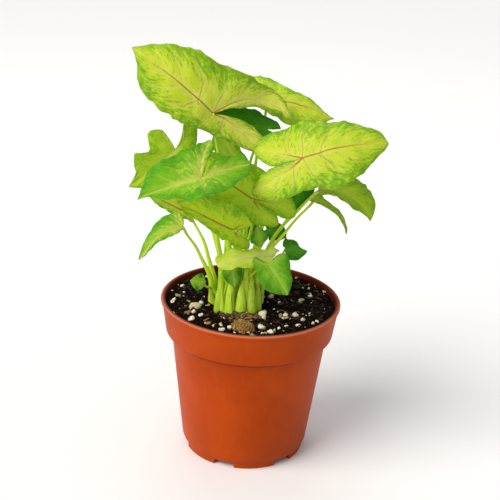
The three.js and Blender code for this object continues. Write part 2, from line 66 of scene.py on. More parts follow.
def valueNoise(x, y, seed):
    # random heights from -1 to 1 on a unit lattice that repeats every 64 cells, blended smoothly between
    lattice = np.random.default_rng(seed).random((64, 64)) * 2 - 1
    i, j = np.floor(x).astype(int), np.floor(y).astype(int)
    a, b = smoothStep(0, 1, x - i), smoothStep(0, 1, y - j)
    i, j, k, m = i % 64, j % 64, (i + 1) % 64, (j + 1) % 64
    near = lattice[i, j] * (1 - a) + lattice[k, j] * a
    far = lattice[i, m] * (1 - a) + lattice[k, m] * a
    return near * (1 - b) + far * b


def cloudNoise(x, y, seed, octaves=3):
    # value noise summed over octaves, each of half the size and half the height
    return sum(valueNoise(x * 2**k + 7.3 * k, y * 2**k - 3.1 * k, seed + k) / 2**k for k in range(octaves))


def gridFaces(rows, columns, closeRows=False, closeColumns=False, start=0):
    # the quads of a grid of points, counted row by row; a closed direction joins its last line to its first
    r = np.arange(rows if closeRows else rows - 1)
    c = np.arange(columns if closeColumns else columns - 1)
    r, c = [g.ravel() for g in np.meshgrid(r, c, indexing="ij")]
    nextR, nextC = (r + 1) % rows, (c + 1) % columns
    quads = [r * columns + c, r * columns + nextC, nextR * columns + nextC, nextR * columns + c]
    return np.stack(quads, 1) + start


def putPiece(name, points, quads, finish, nodes=(), fields=None):
    # Makes the object: points in mm (n, 3), quads (m, 4). Points that fall together are merged, a quad
    # with two corners in one place becomes a triangle. fields are values per point for the finish.
    points = np.asarray(points, float).reshape(-1, 3)
    keys = np.round(points * 2000).astype(np.int64)
    _, first, back = np.unique(keys, axis=0, return_index=True, return_inverse=True)
    back = back.ravel()
    quads = back[quads]
    triangles = np.concatenate([quads[:, [0, 1, 2]], quads[:, [0, 2, 3]]])
    a, b, c = triangles.T
    triangles = triangles[(a != b) & (b != c) & (c != a)]
    mesh = bpy.data.meshes.new(name)
    mesh.vertices.add(len(first))
    mesh.vertices.foreach_set("co", (points[first] * mm).astype(np.float32).ravel())
    mesh.loops.add(triangles.size)
    mesh.loops.foreach_set("vertex_index", triangles.astype(np.int32).ravel())
    mesh.polygons.add(len(triangles))
    mesh.polygons.foreach_set("loop_start", np.arange(0, triangles.size, 3, dtype=np.int32))
    mesh.update(calc_edges=True)
    mesh.validate()
    mesh.shade_smooth()
    for field, values in (fields or {}).items():
        values = np.asarray(values, np.float32).reshape(len(points), -1)[first]
        kind, key = ("FLOAT", "value") if values.shape[1] == 1 else ("FLOAT_VECTOR", "vector")
        mesh.attributes.new(field, kind, "POINT").data.foreach_set(key, values.ravel())
    piece = bpy.data.objects.new(name, mesh)
    bpy.context.scene.collection.objects.link(piece)
    mesh.materials.append(madeOf[finish])
    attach(piece, "root")
    if nodes:
        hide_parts(*nodes)
    return piece


class Wire:
    # one number, colour or vector in a material; an expression on it adds Math nodes
    def __init__(self, skin, socket):
        self.skin, self.socket = skin, socket

    def math(self, operation, *others):
        return self.skin.add("Math", {"operation": operation}, [self, *others])

    def __add__(self, other):
        return self.math("ADD", other)

    def __sub__(self, other):
        return self.math("SUBTRACT", other)

    def __rsub__(self, other):
        return self.skin.add("Math", {"operation": "SUBTRACT"}, [other, self])

    def __mul__(self, other):
        return self.math("MULTIPLY", other)

    def __truediv__(self, other):
        return self.math("DIVIDE", other)

    def __abs__(self):
        return self.math("ABSOLUTE")

    __radd__ = __add__
    __rmul__ = __mul__

    def step(self, low, high):
        # 0 below low and 1 above high, or the other way round where low is the larger
        ends = [self, low, high, 0, 1] if low < high else [self, high, low, 1, 0]
        return self.skin.add("MapRange", {"interpolation_type": "SMOOTHSTEP"}, ends)


def tint(code):
    # a colour written as web hexadecimal, in Blender's linear values
    parts = [int(code[k : k + 2], 16) / 255 for k in (1, 3, 5)]
    return tuple(p / 12.92 if p < 0.04045 else ((p + 0.055) / 1.055) ** 2.4 for p in parts) + (1,)


class Skin:
    # a material being built: add() makes any node, the rest are short ways to the usual ones. gloss is the
    # specular level, fixed holds other sockets that are the same all over.
    def __init__(self, name, gloss, fixed=None):
        self.material = madeOf[name] = bpy.data.materials.new(name)
        self.material.use_nodes = True
        self.tree = self.material.node_tree
        self.shader = self.tree.nodes["Principled BSDF"]
        for socket, value in {"Specular IOR Level": gloss, **(fixed or {})}.items():
            self.shader.inputs[socket].default_value = value

    def feed(self, socket, value):
        if isinstance(value, Wire):
            self.tree.links.new(value.socket, socket)
        elif value is not None:
            socket.default_value = tint(value) if isinstance(value, str) else value

    def add(self, kind, settings=None, inputs=(), output=0):
        node = self.tree.nodes.new("ShaderNode" + kind)
        for key, value in (settings or {}).items():
            setattr(node, key, value)
        pairs = inputs.items() if isinstance(inputs, dict) else enumerate(inputs)
        for key, value in pairs:
            self.feed(node.inputs[key], value)
        return Wire(self, node.outputs[output])

    def field(self, name, part="Fac"):
        return self.add("Attribute", {"attribute_name": name}, output=part)

    def split(self, vector):
        node = self.add("SeparateXYZ", inputs=[vector]).socket.node
        return [Wire(self, out) for out in node.outputs]

    def join(self, *parts):
        return self.add("CombineXYZ", inputs=parts)

    def place(self, stretch=(1, 1, 1)):
        # the place on the piece in metres, a pattern on it being drawn out where stretch is small
        here = self.add("TexCoord", output="Object")
        return self.add("VectorMath", {"operation": "MULTIPLY"}, [here, stretch])

    def noise(self, vector, scale, detail=3, roughness=0.55):
        values = {"Vector": vector, "Scale": scale, "Detail": detail, "Roughness": roughness}
        return self.add("TexNoise", inputs=values)

    def cells(self, vector, scale, feature="F1"):
        return self.add("TexVoronoi", {"feature": feature}, {"Vector": vector, "Scale": scale}, "Distance")

    def blend(self, share, first, second):
        # goes from the first colour to the second as share goes from 0 to 1
        return self.add("Mix", {"data_type": "RGBA"}, {0: share, 6: first, 7: second}, output=2)

    def bump(self, height, distance, strength, before=None):
        # distance is in mm
        values = {"Height": height, "Distance": distance * mm, "Strength": strength, "Normal": before}
        return self.add("Bump", inputs=values)

    def wear(self, body, roughness, normal=None):
        for socket, value in (("Base Color", body), ("Roughness", roughness), ("Normal", normal)):
            self.feed(self.shader.inputs[socket], value)


# in potLook, step is a painted shadow under the band, lip a painted highlight on the rim and the inside
# colour painted shade within the pot
potLook = {"gloss": 0.11, "tint": (1, 0.5, 0.25, 1), "plain": "#b2430d", "deep": "#a63c0b", "runs": "#b54b1e",
           "dusty": "#8f4421", "step": "#6e2208", "lip": "#e2a283", "insideShade": "#4d180b", "speck": "#8f3f18"}


def finishPot():
    # satin moulded terracotta plastic: cloudy colour, painted shadow in the step under the band, a painted
    # highlight on the lip and painted shade within the pot
    s = Skin("potPlastic", potLook["gloss"], {"Specular Tint": potLook["tint"]})
    here = s.place()
    height = s.split(here)[2]
    cloud = s.noise(here, 28)
    runs = s.noise(s.place((1, 1, 0.12)), 420, 3, 0.6)
    grain = s.noise(here, 2600, 2)
    body = s.blend(cloud.step(0.35, 0.68), potLook["plain"], potLook["deep"])
    body = s.blend(runs.step(0.5, 0.75) * 0.35, body, potLook["runs"])
    low = height.step(0.03, 0.0) * cloud.step(0.3, 0.7)
    body = s.blend(low * 0.4, body, potLook["dusty"])
    # painted shadow: a dark line just under the band's foot, outside and within the wall
    step = height.step(0.0768, 0.076) * height.step(0.0732, 0.0752)
    body = s.blend(step * 0.55, body, potLook["step"])
    # painted highlight: a pale line along the outer edge of the lip
    body = s.blend(height.step(0.0956, 0.0965) * 0.3, body, potLook["lip"])
    # painted shade: the wall within the pot, the inner half of the lip's top and the pot's floor darkened to
    # deep maroon
    body = s.blend(s.field("potInsideShade") * (0.7 + cloud * 0.3), body, potLook["insideShade"])
    speck = s.cells(here, 900).step(0.16, 0.05) * s.noise(here, 90, 2).step(0.52, 0.62)
    body = s.blend(speck * 0.3, body, potLook["speck"])
    relief = s.bump(runs, 0.05, 0.5, s.bump(grain, 0.05, 0.6))
    s.wear(body, 0.36 + cloud * 0.16 + runs * 0.08, relief)


peatLook = {"wet": "#0a0502", "damp": "#1c1007", "fibre": "#3d2818", "dry": "#7a6040", "heaped": "#5e4526"}


def finishSoil():
    # damp peat: near-black crumbs with brown fibres and paler dry ones
    s = Skin("peat", 0.05)
    here = s.place()
    crumbs = s.cells(here, 620)
    shade = s.noise(here, 170, 4, 0.65)
    body = s.blend(shade.step(0.4, 0.75), peatLook["wet"], peatLook["damp"])
    body = s.blend(s.noise(here, 1100, 2).step(0.6, 0.74) * 0.6, body, peatLook["fibre"])
    body = s.blend(s.cells(here, 1500).step(0.16, 0.06) * 0.6, body, peatLook["dry"])
    old = s.field("heaped").step(0.25, 0.8) * s.noise(here, 420).step(0.35, 0.6)
    body = s.blend(old * 0.75, body, peatLook["heaped"])
    s.wear(body, 0.78 + shade * 0.2, s.bump(crumbs + shade * 0.6, 0.9, 0.9))


def finishGrit(name, pale, deep, brown, pits):
    # grains that each have a tone of their own, kept in the field grainTone
    s = Skin(name, 0.3)
    here = s.place()
    tone = s.field("grainTone")
    body = s.blend(tone.step(0.2, 0.9), pale, deep)
    body = s.blend(tone.step(0.86, 0.95), body, brown)
    dirt = s.noise(here, 700, 3, 0.6)
    body = s.blend(dirt.step(0.54, 0.74) * 0.55, body, "#4b3322")
    s.wear(body, 0.8 + dirt * 0.15, s.bump(s.cells(here, pits) + dirt, 0.25, 0.8))


stubLook = {"tan": "#a5803c", "brown": "#6d4a22", "ring": "#4d3218", "pale": "#cdb07a"}


def finishStub():
    # a dry cut stem: tan, ringed and fibrous
    s = Skin("oldStem", 0.25)
    fibre = s.noise(s.place((1, 1, 0.2)), 1400, 3, 0.65)
    body = s.blend(fibre.step(0.35, 0.7), stubLook["tan"], stubLook["brown"])
    body = s.blend(s.field("ringPlace").math("SINE").step(0.2, 1.0) * 0.7, body, stubLook["ring"])
    body = s.blend(s.noise(s.place(), 500, 2).step(0.58, 0.7) * 0.6, body, stubLook["pale"])
    s.wear(body, 0.75 + fibre * 0.2, s.bump(fibre, 0.35, 0.8))


stalkLook = {"green": "#c2ea1c", "lime": "#d8f232", "streak": "#d3e85a", "cloud": "#8cba18",
             "foot": "#c6de3c", "husk": "#e2e686", "neck": "#c98f55"}
fleshy = {"Subsurface Weight": 0.12, "Subsurface Scale": 0.002}


def finishStalk():
    # fleshy leaf stalks: pale at the foot, fine lengthwise streaks, a little pink near the blade
    s = Skin("stalkFlesh", 0.25, fleshy)
    along, around, tone = s.split(s.field("stalkPlace", "Vector"))
    streak = s.noise(s.join(along * 1.5, around * 26, tone * 50), 1.6, 3, 0.6)
    cloud = s.noise(s.place(), 120, 2)
    body = s.blend(tone, stalkLook["green"], stalkLook["lime"])
    body = s.blend(streak.step(0.4, 0.7) * 0.6, body, stalkLook["streak"])
    body = s.blend(cloud.step(0.5, 0.75) * 0.3, body, stalkLook["cloud"])
    body = s.blend(along.step(0.34, 0.02) * 0.5, body, stalkLook["foot"])
    body = s.blend(along.step(0.1, 0.0) * streak.step(0.35, 0.6) * 0.35, body, stalkLook["husk"])
    body = s.blend(along.step(0.78, 1.0) * 0.4, body, stalkLook["neck"])
    s.wear(body, 0.4 + streak * 0.18, s.bump(streak, 0.12, 0.7))


def finishCrown(name, deep, pale, stain):
    # the short thick stem and the wrapped leaf bases: pale, streaked upwards, brown where it meets soil
    s = Skin(name, 0.3, {**fleshy, "Subsurface Weight": 0.1})
    here = s.place()
    streak = s.noise(s.place((1, 1, 0.12)), 900, 3, 0.6)
    body = s.blend(streak.step(0.35, 0.7), deep, pale)
    body = s.blend(s.noise(here, 300).step(0.55, 0.75) * 0.5, body, stain)
    body = s.blend(s.split(here)[2].step(0.0962, 0.0925), body, "#6b5428")
    s.wear(body, 0.5 + streak * 0.25, s.bump(streak, 0.3, 0.8))


# mid and edge: the blade from rib to margin; fleck: its mottling, blotch how strong; vein: the ribs, ink how
# red; halo: the pale colour along them, star how far it spreads; lines: how clear the side veins are
# lobe, in the yellow tone: painted light, a pale yellow laid over the lobes
leafTones = {
    "yellow": dict(slot="yellow", mid="#dbe236", edge="#c0de2a", fleck="#64a010", vein="#b2460a",
                   halo="#efec80", lines=0.55, star=0.6, blotch=0.95, ink=1, lobe="#f6f45c"),
    "lime": dict(slot="lime", mid="#d6e036", edge="#badc28", fleck="#64a010", vein="#be4c0c", halo="#ece86c",
                 lines=0.55, star=0.5, blotch=1.0, ink=1),
    "mottled": dict(slot="lime", mid="#cae826", edge="#b0da20", fleck="#68a610", vein="#a83c0a",
                    halo="#d8e650", lines=0.25, star=0.3, blotch=0.9, ink=1),
    "pale": dict(slot="lime", mid="#f2fa5a", edge="#e2f24a", fleck="#b4d436", vein="#d2c862", halo="#f8f8a8",
                 lines=0.3, star=0.5, blotch=0.5, ink=0.3),
    "fresh": dict(slot="green", mid="#90d018", edge="#6fbe12", fleck="#4c9e0c", vein="#b8622a",
                  halo="#eef26a", lines=0.3, star=0.85, blotch=0.7, ink=0.15),
    "green": dict(slot="green", mid="#84c818", edge="#5aa810", fleck="#46900c", vein="#d2e872",
                  halo="#b4da4a", lines=0.35, star=0.55, blotch=0.5, ink=0.2),
    "olive": dict(slot="green", mid="#daf022", edge="#c8ea1e", fleck="#74aa12", vein="#9e380c",
                  halo="#d6e44a", lines=0.2, star=0.3, blotch=1.0, ink=1),
    "moss": dict(slot="green", mid="#c8e02a", edge="#b0d826", fleck="#74a818", vein="#c8c660", halo="#d4e45a",
                 lines=0.35, star=0.4, blotch=0.9, ink=0.3),
    "dark": dict(slot="dark", mid="#4c9e12", edge="#3d8c0e", fleck="#2b700a", vein="#7ab232", halo="#62ac24",
                 lines=0.4, star=0.3, blotch=0.6, ink=0.1),
}


def finishLeaf(tone, look):
    # The field leafVeins holds the vein phase (a side vein wherever it is a whole number, 0 where the
    # stalk joins), the way across from rib to margin, and the distance in mm from the nearest rib.
    s = Skin("leaf_" + tone, 0.22)
    place = s.field("leafPlace", "Vector")
    phase, across, away = s.split(s.field("leafVeins", "Vector"))
    under = s.field("leafUnder")
    cloud = s.noise(place, 0.09, 3, 0.6)
    fine = s.noise(place, 0.75, 3, 0.7)
    ragged = fine - 0.5
    bent = phase + (s.noise(place, 0.28, 2) - 0.5) * 0.14
    side = abs((bent + 100.5).math("FRACT") - 0.5)  # how far from a side vein, in vein spacings
    far = abs(phase)  # how far from the stalk
    # marbling: pale streaks that burst from the stalk, green mottling and fine dashes along the veins
    streaks = s.noise(s.join(bent * 2.3, across * 1.7, cloud * 3), 2.1, 4, 0.7)
    body = s.blend((across + cloud * 0.9 - 0.45).step(0.15, 0.95), look["mid"], look["edge"])
    burst = (streaks - far * 0.07).step(0.43, 0.62) * far.step(5.0, 1.6) * across.step(0.9, 0.35)
    body = s.blend(burst * look["star"], body, look["halo"])
    # painted light: the lobes of the yellow leaf lightened with a pale yellow where they turn from the light
    if "lobe" in look:
        body = s.blend(phase.step(0.4, 2.4) * 0.9, body, look["lobe"])
    mottle = (across * 0.32 + fine * 0.3 + cloud * 0.25 - streaks + 0.5).step(0.5, 0.6)
    body = s.blend(mottle * look["blotch"] * 0.75, body, look["fleck"])
    dashes = s.noise(s.join(bent * 5.2, across * 2.6, cloud * 2), 1.7, 3, 0.7)
    spots = (dashes + across * 0.12 + fine * 0.12).step(0.66, 0.72)
    body = s.blend(spots * look["blotch"] * 0.7, body, look["fleck"])
    net = s.cells(place, 0.42, "DISTANCE_TO_EDGE").step(0.09, 0.01)
    body = s.blend(net * look["lines"] * 0.2, body, look["halo"])
    # pale halos along the side veins and round the ribs
    sideHalo = (side + ragged * 0.3).step(0.17, 0.01) * across.step(0.95, 0.3)
    body = s.blend(sideHalo * look["lines"] * far.step(5.0, 0.5) * 0.9, body, look["halo"])
    star = (away + ragged * 8).step(2.0 + look["star"] * 1.8, 0.5) * far.step(4.4, 0.6)
    body = s.blend(star * (0.3 + look["star"] * 0.65), body, look["halo"])
    # the veins themselves, reddest near the stalk, and a pale rim
    red = far.step(2.2, 0.9) * across.step(0.9, 0.3) * look["ink"]
    sideInk = s.blend(red, look["halo"], look["vein"])
    sideLine = side.step(0.04, 0.012) * across.step(0.98, 0.7)
    body = s.blend(sideLine * look["lines"] * (0.3 + red * 0.6), body, sideInk)
    reddened = far.step(4.6, 2.2) * phase.step(2.4, 0.2) * look["ink"]
    ribInk = s.blend(reddened, look["halo"], look["vein"])
    body = s.blend((away / (0.66 - far * 0.06)).step(1.0, 0.5) * 0.85, body, ribInk)
    body = s.blend(across.step(0.975, 1.0) * 0.5, body, look["halo"])
    body = s.blend(under * 0.35, body, "#abc068")
    relief = s.bump(net * -0.4 + streaks * 0.8 - sideLine, 0.16, 0.7)
    relief = s.bump(s.noise(place, 3.2, 2), 0.05, 0.5, relief)
    s.wear(body, 0.38 + fine * 0.2 + under * 0.15, relief)
    glow = s.add("BsdfTranslucent", inputs={"Color": look["edge"]})
    share = s.add("MixShader", inputs={0: 0.38, 1: Wire(s, s.shader.outputs[0]), 2: glow})
    s.feed(s.tree.nodes["Material Output"].inputs["Surface"], share)


finishPot()
finishSoil()
finishGrit("perlite", "#e9e0c6", "#c9bb92", "#9a7b45", 1500)
finishGrit("bark", "#33221a", "#1d140e", "#8a6a3c", 900)
finishGrit("litter", "#8a6c40", "#553c20", "#cdb484", 900)
finishStub()
finishStalk()
finishCrown("crownFlesh", "#93b81c", "#b6cf36", "#86822a")
finishCrown("sheathSkin", "#a8cc20", "#c4dc48", "#98a436")
for tone, look in leafTones.items():
    finishLeaf(tone, look)
print("finishes made:", len(madeOf))

pot = {
    "height": 97, "rim": 54, "lip": 1.0, "wall": 1.5,
    "bandFoot": 76, "bandRadius": 50.4, "shoulder": 46.9,
    "bottom": 38.4, "foot": 36.4, "footWidth": 3, "footHeight": 4,
    "feet": 6, "feetTurn": 12, "notchWidth": 12.5, "notchHeight": 3.2,
    "drainRadius": 4, "drainCircle": 24,
    "notchEase": 0.4,  # degrees over which the side of a notch turns up
}


def roundedProfile(corners, steps=5):
    # Each corner (r, z, size) becomes a quadratic arc that starts and ends size away along its sides.
    corners = np.array(corners, float)
    p = corners[:, :2]
    line = [p[:1]]
    for k in range(1, len(p) - 1):
        toLast, toNext = p[k - 1] - p[k], p[k + 1] - p[k]
        a = p[k] + toLast * min(0.45, corners[k, 2] / np.linalg.norm(toLast))
        c = p[k] + toNext * min(0.45, corners[k, 2] / np.linalg.norm(toNext))
        t = np.linspace(0, 1, steps)[:, None]
        line.append((1 - t) ** 2 * a + 2 * t * (1 - t) * p[k] + t**2 * c)
    return np.vstack(line + [p[-1:]])


def wedgeAngles():
    # Angles over one sixth of the pot, -30 to 30 degrees, close together at the sides of the feet.
    edge = math.pi / pot["feet"] - pot["notchWidth"] / 2 / pot["foot"]
    near = np.radians([-0.5, -0.25, 0, 0.25, 0.5])
    plain = np.linspace(-math.pi / pot["feet"], math.pi / pot["feet"], 31)
    keep = plain[abs(abs(plain) - edge) > np.radians(0.9)]
    return np.sort(np.concatenate([keep, edge + near, -edge + near])), edge


def makePot():
    # The wall is a closed profile turned round the axis; under the notches its lowest points are lifted.
    # The floor is six wedges, each a ring of lines from its round drain hole to its own outline.
    inner = pot["wall"]
    underLip = pot["rim"] - pot["lip"]
    floorRadius = pot["foot"] - pot["footWidth"]
    bandFoot, foot = pot["bandFoot"], pot["footHeight"]
    profile = roundedProfile([
        (floorRadius, foot, 0),
        (floorRadius, 0, 0.5),
        (pot["foot"], 0, 0.5),
        (pot["foot"], foot - 0.6, 0.4),
        (pot["bottom"] - 0.9, foot + 0.6, 0.8),
        (pot["bottom"], foot + 2.6, 1.0),
        (pot["shoulder"], bandFoot - 0.6, 0.5),
        (pot["bandRadius"] - 0.8, bandFoot, 0.9),
        (pot["bandRadius"], bandFoot + 0.8, 1.0),
        (underLip, pot["height"] - 2.8, 0.4),
        (pot["rim"], pot["height"] - 2, 0.7),
        (pot["rim"], pot["height"] - 0.3, 0.9),
        (underLip - inner, pot["height"], 0.7),
        (pot["bandRadius"] - inner, bandFoot + 2 * inner, 1.0),
        (pot["shoulder"] - inner, bandFoot, 1.0),
        (pot["bottom"] - inner + 0.2, foot + 2 * inner, 1.0),
        (pot["bottom"] - 2 * inner, foot + inner, 1.0),
        (floorRadius, foot + inner, 0),
    ])
    sector, edge = wedgeAngles()
    ease = math.radians(pot["notchEase"])
    mask = smoothStep(edge - ease, edge + ease, abs(sector))
    quads, points, insideShade, count = [], [], [], 0
    turns = np.arange(pot["feet"]) * tau / pot["feet"] - tau / 4 + math.radians(pot["feetTurn"])
    angle = (turns[:, None] + sector[:-1]).ravel()
    lift = np.tile(mask[:-1], pot["feet"])[:, None]
    r, z = np.broadcast_arrays(profile[:, 0], profile[:, 1])
    z = z + np.clip(pot["notchHeight"] - z, 0, None) * lift
    wall = np.stack([r * np.cos(angle)[:, None], r * np.sin(angle)[:, None], z], -1)
    points.append(wall.reshape(-1, 3))
    quads.append(gridFaces(*wall.shape[:2], closeRows=True)[:, ::-1])
    # the inner half of the lip's top and all points within the wall are marked for painted shade
    onLip = profile[:, 1] > pot["height"] - 0.6
    rimIn = smoothStep(pot["rim"] - 0.5, pot["rim"] - 1.4, profile[:, 0]) * onLip
    within = np.maximum(rimIn, np.arange(len(profile)) > np.argmax(profile[:, 1]))
    insideShade.append(np.broadcast_to(within, wall.shape[:2]).ravel())
    count += len(points[-1])

    radial = np.linspace(0, floorRadius, 9)
    half = math.pi / pot["feet"]
    outlineR = np.concatenate([radial[:-1], np.full(len(sector), floorRadius), radial[-2:0:-1]])
    outlineA = np.concatenate([np.full(len(radial) - 1, -half), sector, np.full(len(radial) - 2, half)])
    hole = np.array([pot["drainCircle"], 0.0])
    outline = np.stack([outlineR * np.cos(outlineA), outlineR * np.sin(outlineA)], -1)
    ray = outline - hole
    rim = hole + ray * pot["drainRadius"] / np.linalg.norm(ray, axis=1)[:, None]
    v = np.linspace(0, 1, 5)[:, None, None]
    flat = rim * (1 - v) + outline * v
    for turn in turns:
        c, s = math.cos(turn), math.sin(turn)
        x, y = flat[..., 0] * c - flat[..., 1] * s, flat[..., 0] * s + flat[..., 1] * c
        low = np.stack([x, y, np.full_like(x, foot)], -1)
        high = np.stack([x, y, np.full_like(x, foot + inner)], -1)
        bore = np.stack([low[0], high[0]])
        for sheet, turned in ((low, False), (high, True), (bore, True)):
            faces = gridFaces(*sheet.shape[:2], closeColumns=True, start=count)
            points.append(sheet.reshape(-1, 3))
            # the upper sheet of the floor is marked for painted shade
            insideShade.append(np.full(len(points[-1]), float(sheet is high)))
            quads.append(faces[:, ::-1] if turned else faces)
            count += len(points[-1])
    putPiece("nurseryPot", np.vstack(points), np.vstack(quads), "potPlastic", ["pot"],
             {"potInsideShade": np.concatenate(insideShade)})


makePot()
print("pot made")


def unit(vector):
    # the vector at length 1
    return np.asarray(vector, float) / np.linalg.norm(vector)


crown = {"x": -8, "y": 0.5, "long": 18.5, "wide": 12.5, "lean": 15, "top": 97.3, "foot": 84,
         "spacing": 5.2, "rowDepth": 4.5}
leanCos, leanSin = math.cos(math.radians(crown["lean"])), math.sin(math.radians(crown["lean"]))
soil = {"edge": 94, "dip": 1, "dipRadius": 40, "gap": 0.35, "lumps": 0.9, "crumbs": 1.3, "collar": 2.4,
        "radius": 50.6, "side": [(48.9, 79.4), (45.4, 76.3), (37, 7.5)], "floorRadius": 35.2, "floor": 5.5,
        "rings": 92, "ringCrowd": 0.85, "around": 300, "seed": 11}
heap = {"x": -6, "y": -25, "long": 13, "wide": 7, "high": 2.6}


def onHeap(x, y):
    # exp(-d^2), d being the distance from the middle of the heap in units of its size
    return np.exp(-(((x - heap["x"]) / heap["long"]) ** 2) - ((y - heap["y"]) / heap["wide"]) ** 2)


def soilHeight(x, y):
    # a shallow dish, edge - dip/2 (1 + cos(pi r / dipRadius)), with clods, crumbs, a sunk ring at the wall,
    # a collar of crumbs against the oval crown and a round heap, high exp(-d^2), of old roots beside it
    r = np.hypot(x, y)
    dish = soil["edge"] - soil["dip"] / 2 * (1 + np.cos(np.pi * np.minimum(r / soil["dipRadius"], 1)))
    clods = cloudNoise(x / 9, y / 9, soil["seed"], 2)
    crumbs = abs(cloudNoise(x / 2.6 + 20, y / 2.6, soil["seed"] + 5, 3))
    settle = 0.7 * smoothStep(45, 51, r)
    east, north = x - crown["x"], y - crown["y"]
    a, d = east * leanCos + north * leanSin, north * leanCos - east * leanSin
    oval = np.hypot(a / crown["long"], d / crown["wide"])
    collar = soil["collar"] * np.exp(-(((oval - 0.95) / 0.28) ** 2)) * (0.7 + 0.6 * clods)
    rough = soil["lumps"] * clods + soil["crumbs"] * crumbs - 0.4
    return dish + rough - settle + collar + heap["high"] * onHeap(x, y)


def makeSoil():
    # the surface over rings of radius r, then down beside the wall and in along the floor
    gap = soil["gap"]
    angle = np.linspace(0, tau, soil["around"], endpoint=False)
    r = soil["radius"] * np.linspace(0, 1, soil["rings"]) ** soil["ringCrowd"]
    x, y = r[:, None] * np.cos(angle), r[:, None] * np.sin(angle)
    top = np.stack([x, y, soilHeight(x, y)], -1)
    sides = [(radius - gap, z) for radius, z in soil["side"]]
    sides += [(radius, soil["floor"] + gap) for radius in (soil["floorRadius"], 0)]
    radius, z = np.array(sides).T[..., None]
    below = np.stack([radius * np.cos(angle), radius * np.sin(angle), z + 0 * angle], -1)
    points = np.concatenate([top, below])
    quads = gridFaces(*points.shape[:2], closeColumns=True)
    heaped = onHeap(points[..., 0], points[..., 1])
    putPiece("peatBed", points, quads[:, ::-1], "peat", ["soil"], {"heaped": heaped.ravel()})


makeSoil()

# size is the middle length of a grain in mm; stretch its length, width and height; sink how deep it lies
grainBeds = {
    "perliteGrains": dict(finish="perlite", slot="perlite", count=190, size=0.9, spread=0.75,
                          stretch=(1.25, 0.95, 0.8), sink=0.25, seed=21, sides=(9, 12)),
    "barkChips": dict(finish="bark", slot="peat", count=420, size=1.05, spread=0.8,
                      stretch=(1.9, 0.8, 0.55), sink=0.2, seed=33, sides=(7, 9)),
    "rootLitter": dict(finish="litter", slot="peat", count=240, size=0.85, spread=0.8,
                       stretch=(2.0, 0.7, 0.5), sink=0.25, seed=57, sides=(7, 9), heaped=True),
}
largeGrains = [  # grains that catch the eye: x, y, length, width, height, turn in degrees, tone
    (-32.5, -11.7, 7, 4.5, 3, 10, 0.75), (-33.5, -30, 4, 3.5, 2.6, 40, 0.05),
    (7, -18, 5, 4.5, 3.2, -20, 0.45), (27, -18.3, 4, 3.4, 2.6, 25, 0.15), (7, -35, 4.2, 3.4, 3, -5, 0.2),
    (30.4, 5, 4.6, 2.6, 2, 60, 0.88), (-29.7, -6, 3.2, 2.6, 2.2, 0, 0.3),
    (-28.5, -24.5, 3.8, 2.8, 2.4, 70, 0.1), (-33, -21, 2.8, 2.4, 2, 20, 0.4),
    (-44, 1, 3.6, 3, 2.2, 10, 0.92), (-46.5, -8, 2.4, 2.2, 1.8, 30, 0.1),
    (-42.5, 18, 2.8, 2.4, 2, 0, 0.25), (-15.7, -41, 3.8, 2.8, 2.4, 5, 0.2),
    (-24, -35, 3.2, 2.6, 2, 50, 0.97), (8, -24, 3.6, 2.8, 2.6, 80, 0.2), (12, 8, 4.2, 3, 2.4, 40, 0.8),
    (12, -43.5, 4, 2.8, 2.2, 0, 0.1), (30.7, -24, 2.8, 2.2, 1.8, 20, 0.4),
    (17, -38, 2.4, 2, 1.8, 60, 0.1), (28, -30, 3, 2.4, 2, 10, 0.2), (36, 11, 3, 2.2, 1.8, 30, 0.3),
    (21, -19, 2.6, 2, 1.8, 15, 0.25), (37, -26, 2.4, 2, 1.8, 70, 0.5), (45, 21, 2.2, 2, 1.6, 0, 0.1),
]


def copiesOf(quads, copies, size):
    # the quads of one grid of size points for each of its copies, whose points follow one another
    return (quads[None] + (np.arange(copies) * size)[:, None, None]).reshape(-1, 4)


grainReach = 49.5  # grains are scattered over the soil this far from the axis


